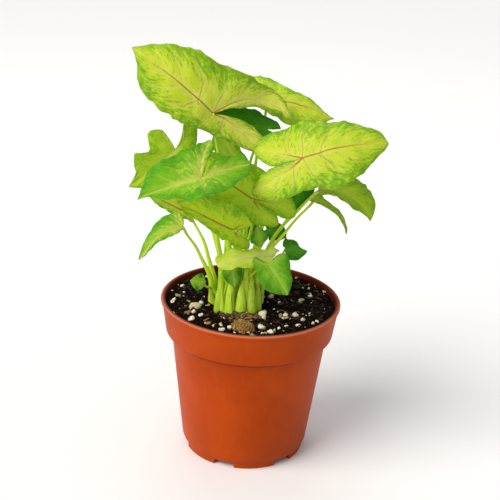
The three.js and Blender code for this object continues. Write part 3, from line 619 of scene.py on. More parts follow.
def makeGrains(name, bed, listed=()):
    # Every grain is a ball of sides points, its radius varied by a smooth random pattern over the ball,
    # stretched, turned about the vertical and a little about x, and laid on the soil.
    random = np.random.default_rng(bed["seed"])
    n = bed["count"]
    r, a = grainReach * np.sqrt(random.random(n)), tau * random.random(n)
    x, y = r * np.cos(a), r * np.sin(a)
    if "heaped" in bed:
        x, y = heap["x"] + heap["long"] / 55 * x, heap["y"] + heap["wide"] / 50 * y
    size = bed["size"] * (0.45 + random.gamma(2.2, bed["spread"] / 2.2, n))
    shape = size[:, None] * np.array(bed["stretch"]) * (0.8 + 0.4 * random.random((n, 3)))
    turn, tone = tau * random.random(n), random.random(n)
    for k, (atX, atY, *sizes, degrees, shade) in enumerate(listed):
        x[k], y[k], shape[k], turn[k], tone[k] = atX, atY, sizes, math.radians(degrees), shade
    rows, columns = bed["sides"]
    up, around = np.linspace(0, np.pi, rows), np.linspace(0, tau, columns, endpoint=False)
    ball = np.stack([np.sin(up)[:, None] * np.cos(around), np.sin(up)[:, None] * np.sin(around),
                     np.cos(up)[:, None] * np.ones(columns)], -1)
    waves = 2.2 * np.einsum("rcd,ndk->nrck", ball, random.normal(size=(n, 3, 5)))
    push = 1 + 0.13 * np.sin(waves + random.random((n, 1, 1, 5)) * tau).sum(-1)
    grain = ball * push[..., None] * shape[:, None, None] / 2
    tip = random.normal(0, 0.3, n)[:, None, None]
    gx, gy, gz = np.moveaxis(grain, -1, 0)
    gy, gz = gy * np.cos(tip) - gz * np.sin(tip), gy * np.sin(tip) + gz * np.cos(tip)
    c, s = np.cos(turn)[:, None, None], np.sin(turn)[:, None, None]
    ground = soilHeight(x, y) + shape[:, 2] * (0.5 - bed["sink"])
    points = np.stack([gx * c - gy * s + x[:, None, None], gx * s + gy * c + y[:, None, None],
                       gz + ground[:, None, None]], -1)
    quads = copiesOf(gridFaces(rows, columns, closeColumns=True)[:, ::-1], n, rows * columns)
    tones = np.repeat(tone, rows * columns)
    nodes = ["perlite_%d" % k for k in range(1, 7)] if listed else []
    putPiece(name, points, quads, bed["finish"], nodes, {"grainTone": tones})


for name, bed in grainBeds.items():
    makeGrains(name, bed, largeGrains if name == "perliteGrains" else ())

fibres = {"count": 130, "radius": 0.16, "length": 9, "seed": 47, "samples": 14, "sides": 5, "reach": 49,
          "startReach": 46, "nest": (-4, -22), "nestSize": 14}


def makeFibres():
    # Each root fibre is a thin tube on the soil: it starts at a random place and turns as sin along its way.
    random = np.random.default_rng(fibres["seed"])
    n, m, k = fibres["count"], fibres["samples"], fibres["sides"]
    r, a = fibres["startReach"] * np.sqrt(random.random(n)), tau * random.random(n)
    near = np.arange(n) < n // 3  # a third of them lie in the nest between the crown and the old stub
    nestX, nestY = fibres["nest"]
    x0 = np.where(near, nestX + fibres["nestSize"] * (random.random(n) - 0.5), r * np.cos(a))
    y0 = np.where(near, nestY + fibres["nestSize"] * (random.random(n) - 0.5), r * np.sin(a))
    length = fibres["length"] * (0.5 + random.random(n))
    t = np.linspace(0, 1, m)
    heading = tau * random.random(n)[:, None] + random.normal(0, 0.9, n)[:, None] * np.sin(3 * t)
    step = (length / (m - 1))[:, None]
    x = x0[:, None] + np.cumsum(np.cos(heading) * step, 1)
    y = y0[:, None] + np.cumsum(np.sin(heading) * step, 1)
    reach = np.hypot(x, y)
    x, y = (place * np.minimum(1, fibres["reach"] / reach) for place in (x, y))
    z = soilHeight(x, y) + 0.25 + 0.9 * np.sin(np.pi * t) * random.random(n)[:, None]
    around = np.linspace(0, tau, k, endpoint=False)
    radius = fibres["radius"] * (1.02 - abs(2 * t - 1) ** 3)
    side = np.stack([-np.sin(heading), np.cos(heading), 0 * heading], -1)[:, :, None]
    ring = side * np.cos(around)[:, None] + np.array([0, 0, 1.0]) * np.sin(around)[:, None]
    points = np.stack([x, y, z], -1)[:, :, None] + ring * radius[:, None, None]
    quads = copiesOf(gridFaces(m, k, closeColumns=True), n, m * k)
    tones = np.repeat(random.random(n), m * k)
    putPiece("rootFibres", points, quads, "bark", fields={"grainTone": tones})


makeFibres()
print("soil, grains and fibres made")

def domed(s, foot, top, wall, wallShare):
    # A wall that takes the first part of s, then a dome d from 0 to 1 of height sin(pi d / 2): d and height.
    d = np.clip((s - wall) / (1 - wall), 0, 1)
    rise = wallShare * np.clip(s / wall, 0, 1) + (1 - wallShare) * np.sin(d * np.pi / 2)
    return d, foot + (top - foot) * rise


stub = {"x": -4, "y": -36, "radius": 6.7, "top": 97.4, "foot": 89, "ringGap": 1.5, "lean": (0.15, -0.6, 0.8),
        "centre": 5,  # how far under the top the scars are measured from
        "rows": 72, "around": 110, "wallPart": 0.15}


def makeStub():
    # The dome has radius R cos(pi d / 2) and height sin(pi d / 2), d going from 0 to 1. The scars of old
    # leaves run round the way it leans: each point is pushed out by sin of its distance from that axis.
    angle = np.linspace(0, tau, stub["around"], endpoint=False)
    s = np.linspace(0, 1, stub["rows"])[:, None]
    dome, z = domed(s, stub["foot"], stub["top"], stub["wallPart"], 0.5)
    r = stub["radius"] * np.cos(dome * np.pi / 2) ** 0.7 * (1 + 0.08 * np.cos(2 * angle + 0.6))
    out = np.stack([r * np.cos(angle), r * np.sin(angle), z + 0 * angle - stub["top"] + stub["centre"]], -1)
    way = np.linalg.norm(np.cross(out, unit(stub["lean"])), axis=-1)
    torn = cloudNoise(out[..., 0] / 2.2, out[..., 1] / 2.2 + out[..., 2], 61, 3)
    ringPlace = (way + 0.5 * torn) * tau / stub["ringGap"]
    push = 0.3 * np.sin(ringPlace) + 0.45 * torn + 0.2 * cloudNoise(angle * 6 + 0 * s, out[..., 2] * 3, 67, 2)
    out = out * (1 + push * (1 - dome**12) / np.linalg.norm(out, axis=-1))[..., None]
    points = out + (stub["x"], stub["y"], stub["top"] - stub["centre"])
    points[..., 2] = np.minimum(points[..., 2], stub["top"] + 0.3)
    points[0], points[-1] = points[0].mean(0), points[-1].mean(0)
    quads = gridFaces(*points.shape[:2], closeColumns=True)
    fields = {"ringPlace": ringPlace.ravel()}
    putPiece("oldStemStub", points, quads, "oldStem", ["old_stem_stub"], fields)


makeStub()

usualLeaf = {"droop": 25, "back": 15, "fold": 0.2, "curl": 0.3, "ripple": 1.0, "sway": 0, "width": 0.46,
             "lobe": 0.5, "crimp": 0.35}
# rows to the shoulder, rows on the lobe and columns; a leaf longer than largeFrom is a large one
leafGrid = {"large": (44, 26, 16), "small": (30, 18, 12), "largeFrom": 30, "largeVeins": 5, "smallVeins": 3}
leafRelief = {"thick": 0.55, "groove": 0.4, "grooveWidth": 1.0, "ribBulge": 0.7, "bulgeWidth": 0.8,
              "quilt": 0.6, "cloud": 0.6, "edge": 0.9, "fullFrom": 50}
# base: where the stalk joins, tip: the end of the midrib, face: where the upper side looks to, seat: its
# place on the crown, left and right: the margin of each half in hundredths of the midrib, x along it and y
# outwards, first from the tip to the end of the lobe, then back along the inner side
leaves = {
    "top_left": dict(base=(-26.8, 3, 209), tip=(-75.3, 13, 242.6), face=(0.1, -0.85, 0.5), seat=(-1, 0),
        tone="yellow", droop=45, back=-20, fold=0.1, ripple=1.2,
        left=([(88, 7), (70, 24), (46, 32), (18, 27), (-4, 18), (-31, 9), (-54, 0), (-58, -10)],
            [(-50, -18), (-22, -13)]),
        right=([(92, 7), (76, 21), (50, 35), (23, 41), (-10, 53), (-38, 60), (-51, 55), (-65, 48)],
            [(-42, 42), (-14, 20)])),
    "top_back": dict(base=(4, 41, 209.4), tip=(44.3, 35, 200.6), face=(0, -0.7, 0.7), seat=(0.5, 1),
        tone="lime", arrive=(0.1, -0.3, 0.95), droop=40, fold=0.1,
        left=([(91, 1), (83, 4), (65, 13), (38, 19), (8, 28), (-22, 36), (-38, 28)], [(-22, 10)]),
        right=([(93, 6), (84, 20), (66, 33), (40, 36), (10, 24), (-20, 12)], [(-15, 4)])),
    "right_front": dict(base=(24.8, -19, 192.2), tip=(73.4, -9, 200.4), face=(0, -0.65, 0.7), seat=(1, 0),
        tone="lime", arrive=(0.12, -0.95, 0.45), droop=50, fold=-0.1,
        left=([(92, 15), (62, 32), (24, 45), (-10, 52), (-42, 50), (-56, 38)], [(-50, 20), (-36, 6),
            (-18, 1.5)]),
        right=([(90, 10), (77, 20), (51, 38), (25, 41), (5, 35), (-15, 35), (-40, 31), (-64, 22),
            (-66, 10)], [(-40, -4), (-18, -1)])),
    "left_front": dict(base=(-30.8, -35, 182.7), tip=(-64.5, -50, 173.8), face=(0.1, -0.5, 0.85),
        seat=(-2, 0), tone="fresh", arrive=(-0.2, -0.6, 0.8), droop=20, fold=(0.4, 0.3),
        left=([(85, 4), (71, 17), (48, 33), (23, 44), (6, 40), (-32, 35), (-55, 18), (-78, 6), (-87, -12)],
            [(-71, -28), (-29, -22)]),
        right=([(88, 10), (71, 32), (46, 44), (20, 50), (-5, 54), (-25, 64), (-38, 67), (-43, 60)],
            [(-36, 43), (-18, 22)])),
    "left_back": dict(base=(-48, 5, 186), tip=(-74, -5, 165), face=(0.1, -1, 0.1), seat=(-1.5, 1),
        tone="moss", droop=20,
        left=([(86, 15), (63, 26), (34, 30), (0, 28), (-30, 16), (-50, 0), (-62, -20)], [(-45, -32),
            (-23, -12)]),
        right=([(77, 10), (70, 24), (58, 38), (49, 32), (36, 25), (20, 48), (0, 40)], [(-2, 20)])),
    "middle_back": dict(base=(-15, 22, 178), tip=(-26, 32, 192), face=(0, -1, 0.1), seat=(-0.5, 1),
        tone="moss",
        left=([(75, 29), (50, 38), (27, 30), (0, 20), (-20, 12)], [(-14, 3)]),
        right=([(80, 30), (45, 42), (5, 32), (-21, 34), (-45, 20)], [(-25, 5)])),
    "top_shade": dict(base=(4.4, 26, 194.7), tip=(-28.6, 20, 203.9), face=(0.1, -1, 0.25), seat=(0, 0),
        tone="dark", arrive=(0.5, -0.4, 0.8), droop=-20,
        left=([(85, 16), (50, 34), (10, 42), (-30, 42), (-62, 30)], [(-40, 10)]),
        right=([(85, 14), (50, 26), (16, 24), (-8, 17), (-22, 8)], [(-13, 3)])),
    "lower_left_back": dict(base=(-39, 8, 146), tip=(-66, 5, 160), face=(0, -1, 0.1), seat=(-2.5, 1),
        tone="lime",
        left=([(82, 7), (60, 13), (36, 14), (7, 12), (-15, 12)], [(-10, 3)]),
        right=([(83, 30), (40, 36), (5, 32), (-20, 22)], [(-10, 6)])),
    "centre_left": dict(base=(-12, -17, 146.2), tip=(-43.8, -34, 168.1), face=(0, -1, 0.2), seat=(-1, -2),
        tone="olive", droop=15,
        left=([(81, 8), (48, 11), (12, 17), (-17, 18), (-40, 15)], [(-34, 4), (-14, 2)]),
        right=([(92, 10), (78, 21), (49, 29), (15, 32), (-8, 27), (-20, 18)], [(-10, 6)])),
    "centre": dict(base=(-2, -7, 162.2), tip=(-33.3, -4.3, 182.6), face=(0, -1, 0.1), seat=(-0.5, -1),
        tone="mottled",
        left=([(93, 25), (70, 48), (34.5, 42), (0, 32), (-25, 30), (-46, 23), (-60, 12)], [(-44, -0.4),
            (-20, -0.4)]),
        right=([(95, 20), (75, 33), (45, 42), (16, 46), (-9, 44), (-34, 40), (-60, 30), (-74, 14)],
            [(-62, 0.5), (-36, 0)])),
    "right_shade": dict(base=(27, 24, 164), tip=(22, 20, 145), face=(0, -1, 0.1), seat=(1, 2), tone="dark",
        left=([(90, 10), (65, 24), (35, 42), (10, 42), (-20, 30)], [(-15, 8)]),
        right=([(77, 35), (40, 42), (10, 40), (-20, 30)], [(-15, 8)])),
    "right_drooping": dict(base=(36, 0, 167), tip=(68, 5, 148), face=(0.2, -0.8, 0.5), seat=(2, 0),
        tone="moss", droop=30, sway=0.15,
        left=([(98, 12), (92, 24), (72, 29), (45, 30), (19, 30), (-5, 22)], [(-3, 6)]),
        right=([(88, 5), (75, 10), (59, 15), (43, 10), (26, 8), (8, 8)], [(0, 3)])),
    "right_folded": dict(base=(34, 12, 156), tip=(55, 10, 137), face=(0.6, -0.2, 0.8), seat=(1.5, -1),
        tone="moss", arrive=(0.6, 0.27, 0.72), droop=70, fold=0.6, ripple=0.2, width=0.14, lobe=0.08),
    "low_left": dict(base=(-41, -15, 146), tip=(-65, -30, 130), face=(-0.3, -0.6, 0.7), seat=(-3, 0),
        tone="fresh", droop=40, sway=-0.1,
        left=([(93, 5), (74, 11), (52, 15), (35, 18), (12, 13)], [(4, 5)]),
        right=([(86, 7), (57, 15), (38, 22), (2, 37), (-12, 38)], [(-11, 20)])),
    "low_wavy": dict(base=(2.8, -17, 130.2), tip=(-19.8, -27, 126.8), face=(0, -0.2, 1), seat=(0, -2),
        tone="pale", ripple=1.4, crimp=0.6,
        left=([(92, 20), (68, 34), (30, 34), (0, 30), (-35, 34), (-62, 20)], [(-40, 3), (-20, 1)]),
        right=([(95, 22), (72, 40), (35, 37), (0, 30), (-35, 36), (-70, 28)], [(-40, 2), (-20, 1)])),
    "low_middle": dict(base=(3.6, -6.5, 135), tip=(1.3, -5, 145.6), face=(0.1, -1, 0.3), seat=(0.5, -1),
        tone="green", arrive=(0.1, -0.2, 1), width=0.5, lobe=0.2),
    "low_right_back": dict(base=(9.5, 16, 134.5), tip=(19.5, 14, 131.5), face=(0, -0.8, 0.5), seat=(1.5, 1),
        tone="dark", arrive=(0.4, -0.3, 0.9), width=0.58, lobe=0.4),
    "low_front": dict(base=(8.9, -29, 130.9), tip=(20.7, -37, 116.1), face=(0.2, -0.8, 0.6), seat=(1.5, -2),
        tone="green", arrive=(0.2, -0.8, 0.5),
        left=([(90, 13), (70, 31), (40, 49), (10, 56), (-8, 58)], [(-12, 40), (-6, 15)]),
        right=([(93, 9), (75, 31), (50, 47), (20, 47), (-10, 40), (-37, 26)], [(-32, 12)])),
    "low_right": dict(base=(19, 5, 128), tip=(32, 0, 129), face=(0, -0.8, 0.5), seat=(2.5, -1), tone="dark",
        left=([(74, 13), (30, 34), (-10, 50)], [(-15, 20)]),
        right=([(87, 28), (70, 46), (45, 53), (15, 45)], [(5, 20)])),
    "young_front": dict(base=(-12.6, -13, 122.3), tip=(-9.9, -18, 110.6), face=(0.2, -0.9, 0.2),
        seat=(-1.5, -1), tone="green", arrive=(0.5, -0.6, 0.6), width=0.4, lobe=0.25),
    "young_left": dict(base=(-28, -16, 112), tip=(-36, -18, 114), face=(-0.2, -0.8, 0.5), seat=(-2.5, -1),
        tone="green", width=0.6, lobe=0.2),
    "back_left": dict(base=(-26, 36, 165), tip=(-50, 47, 148), face=(-0.3, 0.6, 0.7), seat=(-1, 2),
        tone="dark", droop=45, width=0.42, lobe=0.45),
    "back_right": dict(base=(44, 46, 170), tip=(60, 48, 158), face=(0.3, 0.5, 0.8), seat=(2.5, 1),
        tone="dark", droop=45, width=0.38, lobe=0.36),
    "back_low": dict(base=(-6, 34, 136), tip=(-10, 47, 112), face=(0, 0.8, 0.6), seat=(0, 2), tone="dark",
        droop=40, width=0.42, lobe=0.4),
}


curveSteps = 14  # points of a margin between two that are given


def curveThrough(points):
    # Catmull-Rom: 0.5 (2b + (c - a) t + (2a - 5b + 4c - d) t^2 + (3b - a - 3c + d) t^3) between b and c
    p = np.vstack([points[:1], points, points[-1:]])
    a, b, c, d = (p[k : len(p) - 3 + k, None] for k in range(4))
    t = (np.arange(curveSteps) / curveSteps)[:, None]
    line = 0.5 * (2 * b + (c - a) * t + (2 * a - 5 * b + 4 * c - d) * t**2 + (3 * b - a - 3 * c + d) * t**3)
    return np.vstack([line.reshape(-1, 2), points[-1:]])


def alongCurve(line, share):
    # the points at these shares of the length of a line
    run = np.append(0, np.cumsum(np.linalg.norm(np.diff(line, axis=0), axis=1)))
    return np.stack([np.interp(share, run / run[-1], line[:, k]) for k in (0, 1)], -1)


def halfLeaf(leaf, margin, grid):
    # One half of the flat leaf as rows from a rib to the margin: down the front from the tip, then out
    # along the lobe rib and back on its inner side. Gives points, phase of the side veins and the place
    # across. The lobe rib at reach q is the mean of both margins weighted by 0.5 sin(pi q / 2).
    if margin:
        outer, inner = (np.array(points) / 100 for points in margin)
    else:
        w, x, y = leaf["width"], -0.87 * leaf["lobe"], 0.5 * leaf["lobe"]
        outer = [(0.84, 0.42 * w), (0.52, 0.85 * w), (0.18, w), (0.5 * x + 0.12, 0.5 * y + 0.21), (x, y)]
        inner = [(0.72 * x, 0.2 * y)]
    line = curveThrough(np.array([(1, 0), *outer, *inner, (0, 0)], float))
    end = curveSteps * len(outer)
    shoulder = int(np.clip(np.argmax(line[:, 0] < 0.5 * line[:, 1]), 0.1 * end, 0.85 * end))
    front, lobe, across = grid
    t, q = np.linspace(0, 1, front + 1), np.linspace(0, 1, lobe + 1)
    ahead, out, home = line[: shoulder + 1], line[shoulder : end + 1], line[end:]
    weight = 0.5 * np.sin(np.pi / 2 * 0.9 * q)[:, None]
    rib = (1 - weight) * alongCurve(home, 1 - 0.9 * q) + weight * alongCurve(out, 0.9 * q)
    rib[0] = 0
    margins = np.vstack([alongCurve(ahead, t), alongCurve(out, q)[1:], alongCurve(home, q)[1:]])
    ribs = np.vstack([np.stack([1 - t, 0 * t], -1), rib[1:], rib[::-1][1:]])
    v = np.broadcast_to(np.linspace(0, 1, across + 1), (len(ribs), across + 1)).copy()
    flat = ribs[:, None] + (margins - ribs)[:, None] * v[..., None]
    v[0], v[-1] = 1, 0
    veins, reach = leaf["veins"], np.concatenate([q[1:], q[::-1][1:]])[:, None]
    x = (1 - t)[:, None]
    lean, bow = v**1.3, -0.2 * np.sin(np.pi * v)
    phase = np.vstack([-veins * (x - 0.36 * lean[: front + 1] * (1 - np.exp(-2 * x))),
                       4.0 * (reach - 0.3 * lean[front + 1 :] * (1 - np.exp(-2 * reach)))])
    phase = phase + bow * np.exp(-3 * np.vstack([x, reach]))
    return flat, phase, v, rib


def onBoth(values):
    # values on the grid of a half, repeated backwards for the underside
    return np.concatenate([values, values[:, ::-1]], 1).reshape(-1, values.shape[2])


def makeBlade(name, leaf):
    # The flat leaf is bent along x by the droop, rises to the sides by fold and curl, waves at the margin,
    # and carries grooves over the ribs and pillows between the side veins; the underside is a second sheet.
    base, tip, face = (np.array(leaf[key], float) for key in ("base", "tip", "face"))
    chord = tip - base
    droop = math.radians(leaf["droop"])
    length = np.linalg.norm(chord) * (droop / 2) / math.sin(droop / 2)
    ahead = unit(chord)
    normal = unit(face - face @ ahead * ahead)
    ahead, normal = (ahead * math.cos(droop / 2) + normal * math.sin(droop / 2),
                     normal * math.cos(droop / 2) - ahead * math.sin(droop / 2))
    left = np.cross(normal, ahead)
    size = "large" if length > leafGrid["largeFrom"] else "small"
    leaf, grid = {**leaf, "veins": leafGrid[size + "Veins"]}, leafGrid[size]
    seed = leaf["seed"]
    scale = min(1.0, length / leafRelief["fullFrom"])
    points, quads, place, veins, under = [], [], [], [], []
    halves = [halfLeaf(leaf, leaf.get(key), grid) for key in ("left", "right")]
    ribLine = [curve[3] * (1, side) for curve, side in zip(halves, (1, -1))]
    ribs = np.vstack([alongCurve(line, np.linspace(0, 1, 90)) for line in ribLine])
    for side, (flat, phase, v, _) in zip((1, -1), halves):
        wave = leafRelief["edge"] / length * smoothStep(0.5, 1, v) * smoothStep(0.0, 0.15, abs(flat[..., 1]))
        x = flat[..., 0]
        y = side * (flat[..., 1] + wave * cloudNoise(x * length / 5, v + seed, seed + side, 2))
        toLobe = np.sqrt((((flat * (1, side))[..., None, :] - ribs) ** 2).sum(-1).min(-1))
        away = length * np.minimum(toLobe, np.where(x > 0, abs(y), 9))
        k = 0 if side > 0 else 1
        fold = np.broadcast_to(leaf["fold"], 2)[k]  # one for both halves, or one for each
        across = abs(y) / leaf["width"]
        rise = length * leaf["width"] * (fold * across - 0.5 * leaf["curl"] * across**2)
        rise = rise + leaf["ripple"] * across**2 * np.sin(4 * np.pi * x + 2.1 * k)
        far = np.hypot(x, y)
        pillow = np.sin(np.pi * v) * (0.5 - 0.5 * np.cos(tau * phase)) * smoothStep(0, 0.12, far)
        rise = rise + leafRelief["quilt"] * scale * pillow
        rise = rise + leafRelief["cloud"] * scale * cloudNoise(x * length / 9, y * length / 9, seed, 3)
        crimp = smoothStep(0.55, 1, v) * np.sin(length * (x * 1.1 + abs(y) * 0.5) + seed)
        rise = rise + leaf["crimp"] * scale * crimp
        fade = 1 - 0.6 * far
        groove = leafRelief["groove"] * scale * np.exp(-((away / leafRelief["grooveWidth"]) ** 2)) * fade
        bulge = leafRelief["ribBulge"] * scale * np.exp(-((away / leafRelief["bulgeWidth"]) ** 2)) * fade
        half = leafRelief["thick"] / 2 * (1 - 0.7 * v**6)
        sheets = []
        for height in (rise + half - groove, rise - half - bulge):
            back = np.where(x < 0, -1, 1)
            bend = np.where(x < 0, math.radians(leaf["back"]), droop)
            turn = bend * abs(x)
            reach = back * (length * np.sin(turn) / bend + height * np.sin(turn))
            drop = height * np.cos(turn) - length * (1 - np.cos(turn)) / bend
            aside = length * (y + 4 * leaf["sway"] * np.where(x > 0, x - x**2, x))
            sheets.append(base + reach[..., None] * ahead + aside[..., None] * left
                          + drop[..., None] * normal)
        sheet = np.concatenate([sheets[0], sheets[1][:, ::-1]], 1)
        faces = gridFaces(*sheet.shape[:2], start=sum(map(len, points)))
        points.append(sheet.reshape(-1, 3))
        quads.append(faces if side > 0 else faces[:, ::-1])
        jitter = 0.22 * v * cloudNoise(x * 4 + 9, y * 4, seed + side, 2)
        place.append(onBoth(np.stack([x * length, y * length, np.full_like(x, seed * 17.0)], -1)))
        veins.append(onBoth(np.stack([phase + jitter, v, away], -1)))
        under.append(np.repeat([[0.0] * v.shape[1] + [1.0] * v.shape[1]], len(v), 0).ravel())
    points = np.clip(np.vstack(points), np.array(cadBox[0]) / mm, np.array(cadBox[1]) / mm)
    fields = {"leafPlace": np.vstack(place), "leafVeins": np.vstack(veins),
              "leafUnder": np.concatenate(under)}
    pieceName = "leaf" + name.title().replace("_", "")
    putPiece(pieceName, points, np.vstack(quads), "leaf_" + leaf["tone"], ["blade_" + name], fields)
    return {**leaf, "size": length}, base, ahead, normal


# foot and neck are radii; rise and arrive shape the curve; a stalk starts buried mm under the crown's top;
# a small leaf has a thinner one, by thin + size / fullSize where that is under 1
stalkForm = {"foot": 2.45, "neck": 0.9, "power": 2.4, "rise": 0.42, "arrive": 0.3, "rows": 72, "sides": 20,
             "buried": 7, "stray": 0.45, "thin": 0.62, "fullSize": 140}


def onCrown(a, d):
    # x and y of a point a along the crown and d across it, the crown turned by its lean
    return crown["x"] + a * leanCos - d * leanSin, crown["y"] + a * leanSin + d * leanCos


def crownPoint(across, deep, z):
    # the place on the crown of a seat counted in columns and rows
    return np.array([*onCrown(crown["spacing"] * across, crown["rowDepth"] * deep), z])


def makeStalk(name, leaf, base, ahead, normal):
    # A tube along a cubic curve that rises upright, then comes to the blade from below. Its radius falls as
    # (1 - t)^power, with a sheath at the foot, a groove up the inner side and a small swelling at the neck.
    foot = crownPoint(*leaf["seat"], crown["top"])
    way = unit(leaf.get("arrive", 0.4 * ahead + 0.5 * normal + (0, 0, 0.5)))
    head = base - 0.15 * normal
    reach = np.linalg.norm(head - foot)
    c1 = foot + (0, 0, stalkForm["rise"] * reach)
    c2 = head - way * stalkForm["arrive"] * reach
    buried = stalkForm["buried"] / (3 * stalkForm["rise"] * reach)
    t = np.linspace(-buried, 1, stalkForm["rows"])[:, None]
    curve = (1 - t) ** 3 * foot + 3 * (1 - t) ** 2 * t * c1 + 3 * (1 - t) * t**2 * c2 + t**3 * head
    line = np.where(t < 0, foot + 3 * t * (c1 - foot), curve)
    tangent = np.gradient(line, axis=0)
    tangent /= np.linalg.norm(tangent, axis=1)[:, None]
    side = np.cross((0, 0, 1), head - foot + (1e-3, 2e-3, 0))
    side = unit(side) - (tangent @ unit(side))[:, None] * tangent
    side /= np.linalg.norm(side, axis=1)[:, None]
    front = np.cross(tangent, side)
    s = np.clip(t, 0, 1)
    seed = leaf["seed"]
    sheath = np.exp(-s * reach / 9)
    bend = np.sin(np.pi * s)
    stray = side * np.sin(2.3 * tau * s + seed) + front * np.sin(1.7 * tau * s + 2 * seed)
    line = line + stalkForm["stray"] * bend * stray
    radius = stalkForm["neck"] + (stalkForm["foot"] - stalkForm["neck"]) * (1 - s) ** stalkForm["power"]
    radius = radius * min(1, stalkForm["thin"] + leaf["size"] / stalkForm["fullSize"])
    radius = radius * (1 + 0.14 * np.exp(-(((s - 0.95) / 0.03) ** 2)) - 0.35 * smoothStep(0.985, 1, s))
    angle = np.linspace(0, tau, stalkForm["sides"], endpoint=False)
    groove = 0.16 * np.exp(-(((angle - tau / 4) / 0.5) ** 2)) * (1 - s)
    wide, deep = radius * (1 + 0.35 * sheath), radius * (1 + 0.1 * sheath)
    fine = 1 - groove + 0.03 * cloudNoise(angle[None] * 3, t * reach / 7, seed, 2)
    ring = (side[:, None] * (wide * np.cos(angle) * fine)[..., None]
            + front[:, None] * (deep * np.sin(angle) * fine)[..., None])
    ends = [line[k : k + 1, None].repeat(len(angle), 1) for k in (0, len(line) - 1)]
    points = np.concatenate([ends[0], line[:, None] + ring, ends[1]])
    along = np.concatenate([s[:1], s, s[-1:]])
    shape = points.shape[:2]
    place = np.stack([np.broadcast_to(along, shape), np.broadcast_to(abs(angle / np.pi - 1), shape),
                      np.full(shape, (seed * 0.37) % 1)], -1)
    quads = gridFaces(*shape, closeColumns=True)
    pieceName = "stalk" + name.title().replace("_", "")
    fields = {"stalkPlace": place.reshape(-1, 3)}
    putPiece(pieceName, points, quads, "stalkFlesh", ["stalk_" + name], fields)


for number, (name, leaf) in enumerate(leaves.items()):
    leaf = {**usualLeaf, "seed": number + 3, **leaf}
    makeStalk(name, *makeBlade(name, leaf))
print("leaves and stalks made:", len(leaves))

crownForm = {"rows": 40, "around": 120, "sunk": 1.8, "share": 0.86, "ridge": 0.09, "ridges": 14,
             "wallPart": 0.4, "seed": 71}


def makeCrown():
    # An oval dome, radius (1 - s^3)^0.5, with upright ridges where the leaf bases run into it.
    angle = np.linspace(0, tau, crownForm["around"], endpoint=False)
    s = np.linspace(0, 1, crownForm["rows"])[:, None]
    dome, z = domed(s, crown["foot"], crown["top"] - crownForm["sunk"], crownForm["wallPart"], 0.6)
    ridged = crownForm["ridge"] * np.sin(crownForm["ridges"] * angle + 2 * np.sin(3 * angle))
    ridged = ridged * (1 - dome)
    lumps = 0.05 * cloudNoise(angle[None] * 2.5, s * 5, crownForm["seed"], 3) * (1 - dome**4)
    r = np.sqrt(np.clip(1 - dome**3, 0, 1)) * (1 + ridged + lumps) + 0.1 * (1 - s)
    a = r * crown["long"] * crownForm["share"] * np.cos(angle)
    d = r * crown["wide"] * crownForm["share"] * np.sin(angle)
    z = z + 0 * a + 0.5 * cloudNoise(a / 3, d / 3, 5, 2) * (1 - dome**6)
    points = np.stack([*onCrown(a, d), z], -1)
    points[0], points[-1] = points[0].mean(0), points[-1].mean(0)
    quads = gridFaces(*points.shape[:2], closeColumns=True)
    putPiece("plantCrown", points, quads, "crownFlesh", ["crown"])


sheathForm = {"foot": 91, "thick": 0.28, "rows": 22, "columns": 15}
# seat across and deep, height, radius, width in degrees, direction it faces and lean outwards
sheaths = [
    (-1.5, -1.2, 20, 3.6, 150, -90, 0.12), (0.6, -1.6, 14, 3.4, 165, -75, 0.2),
    (-2.6, -0.4, 16, 3.3, 150, -140, 0.22), (1.9, -0.8, 12, 3.2, 150, -40, 0.25),
    (-0.4, -2.1, 9, 3.1, 170, -90, 0.3), (2.4, 0.6, 13, 3.2, 150, 10, 0.25),
    (-1.2, 2.0, 15, 3.4, 150, 100, 0.2), (0.9, 1.9, 12, 3.2, 150, 80, 0.2),
    (-1.7, -3.6, 27, 3.5, 180, -96, -0.24), (-0.5, -4.1, 24, 3.7, 180, -90, -0.3),
    (0.7, -3.8, 29, 3.6, 180, -84, -0.26), (1.6, -3.0, 24, 3.2, 160, -72, -0.16),
    (-2.7, -2.7, 24, 3.2, 160, -112, -0.1), (0.1, -3.4, 34, 3.5, 170, -90, -0.16),
    (1.3, -2.9, 22, 3.5, 200, -10, -0.06), (-2.2, -3.0, 21, 3.5, 200, 190, -0.06),
    (0.9, -3.6, 19, 3.2, 190, -20, -0.1), (-1.5, -3.9, 18, 3.2, 190, 200, -0.1),
]


def makeSheaths():
    # Old leaf sheaths clasp the stalks: part of a tube whose angle closes as 1 - u^1.4 to a point at the top,
    # the outer wall and the inner wall on one grid that goes round the free edges.
    points, quads, start = [], [], 0
    u = np.linspace(0, 1, sheathForm["rows"])[:, None]
    w = np.linspace(-1, 1, sheathForm["columns"])
    for across, deep, height, radius, width, facing, lean in sheaths:
        middle = crownPoint(across, deep, sheathForm["foot"])
        gape = np.radians(width) / 2 * (1 - u**1.4) + 0.02
        angle = np.radians(facing) + gape * w
        shift = lean * height * u**1.7
        walls = []
        for offset in (sheathForm["thick"], -sheathForm["thick"]):
            r = radius * (1 - 0.25 * u) + offset * (1 - 0.7 * u**2) * (1 - 0.6 * w**4)
            walls.append(np.stack([middle[0] + r * np.cos(angle) + math.cos(math.radians(facing)) * shift,
                                   middle[1] + r * np.sin(angle) + math.sin(math.radians(facing)) * shift,
                                   middle[2] + height * u + 0 * angle], -1))
        sheet = np.concatenate([walls[0], walls[1][:, ::-1]], 1)
        sheet[-1] = sheet[-1].mean(0)
        floor = sheet[:1].mean(1, keepdims=True).repeat(sheet.shape[1], 1)
        sheet = np.concatenate([floor, sheet])
        quads.append(gridFaces(*sheet.shape[:2], closeColumns=True, start=start))
        points.append(sheet.reshape(-1, 3))
        start += len(points[-1])
    putPiece("oldSheaths", np.vstack(points), np.vstack(quads), "sheathSkin")


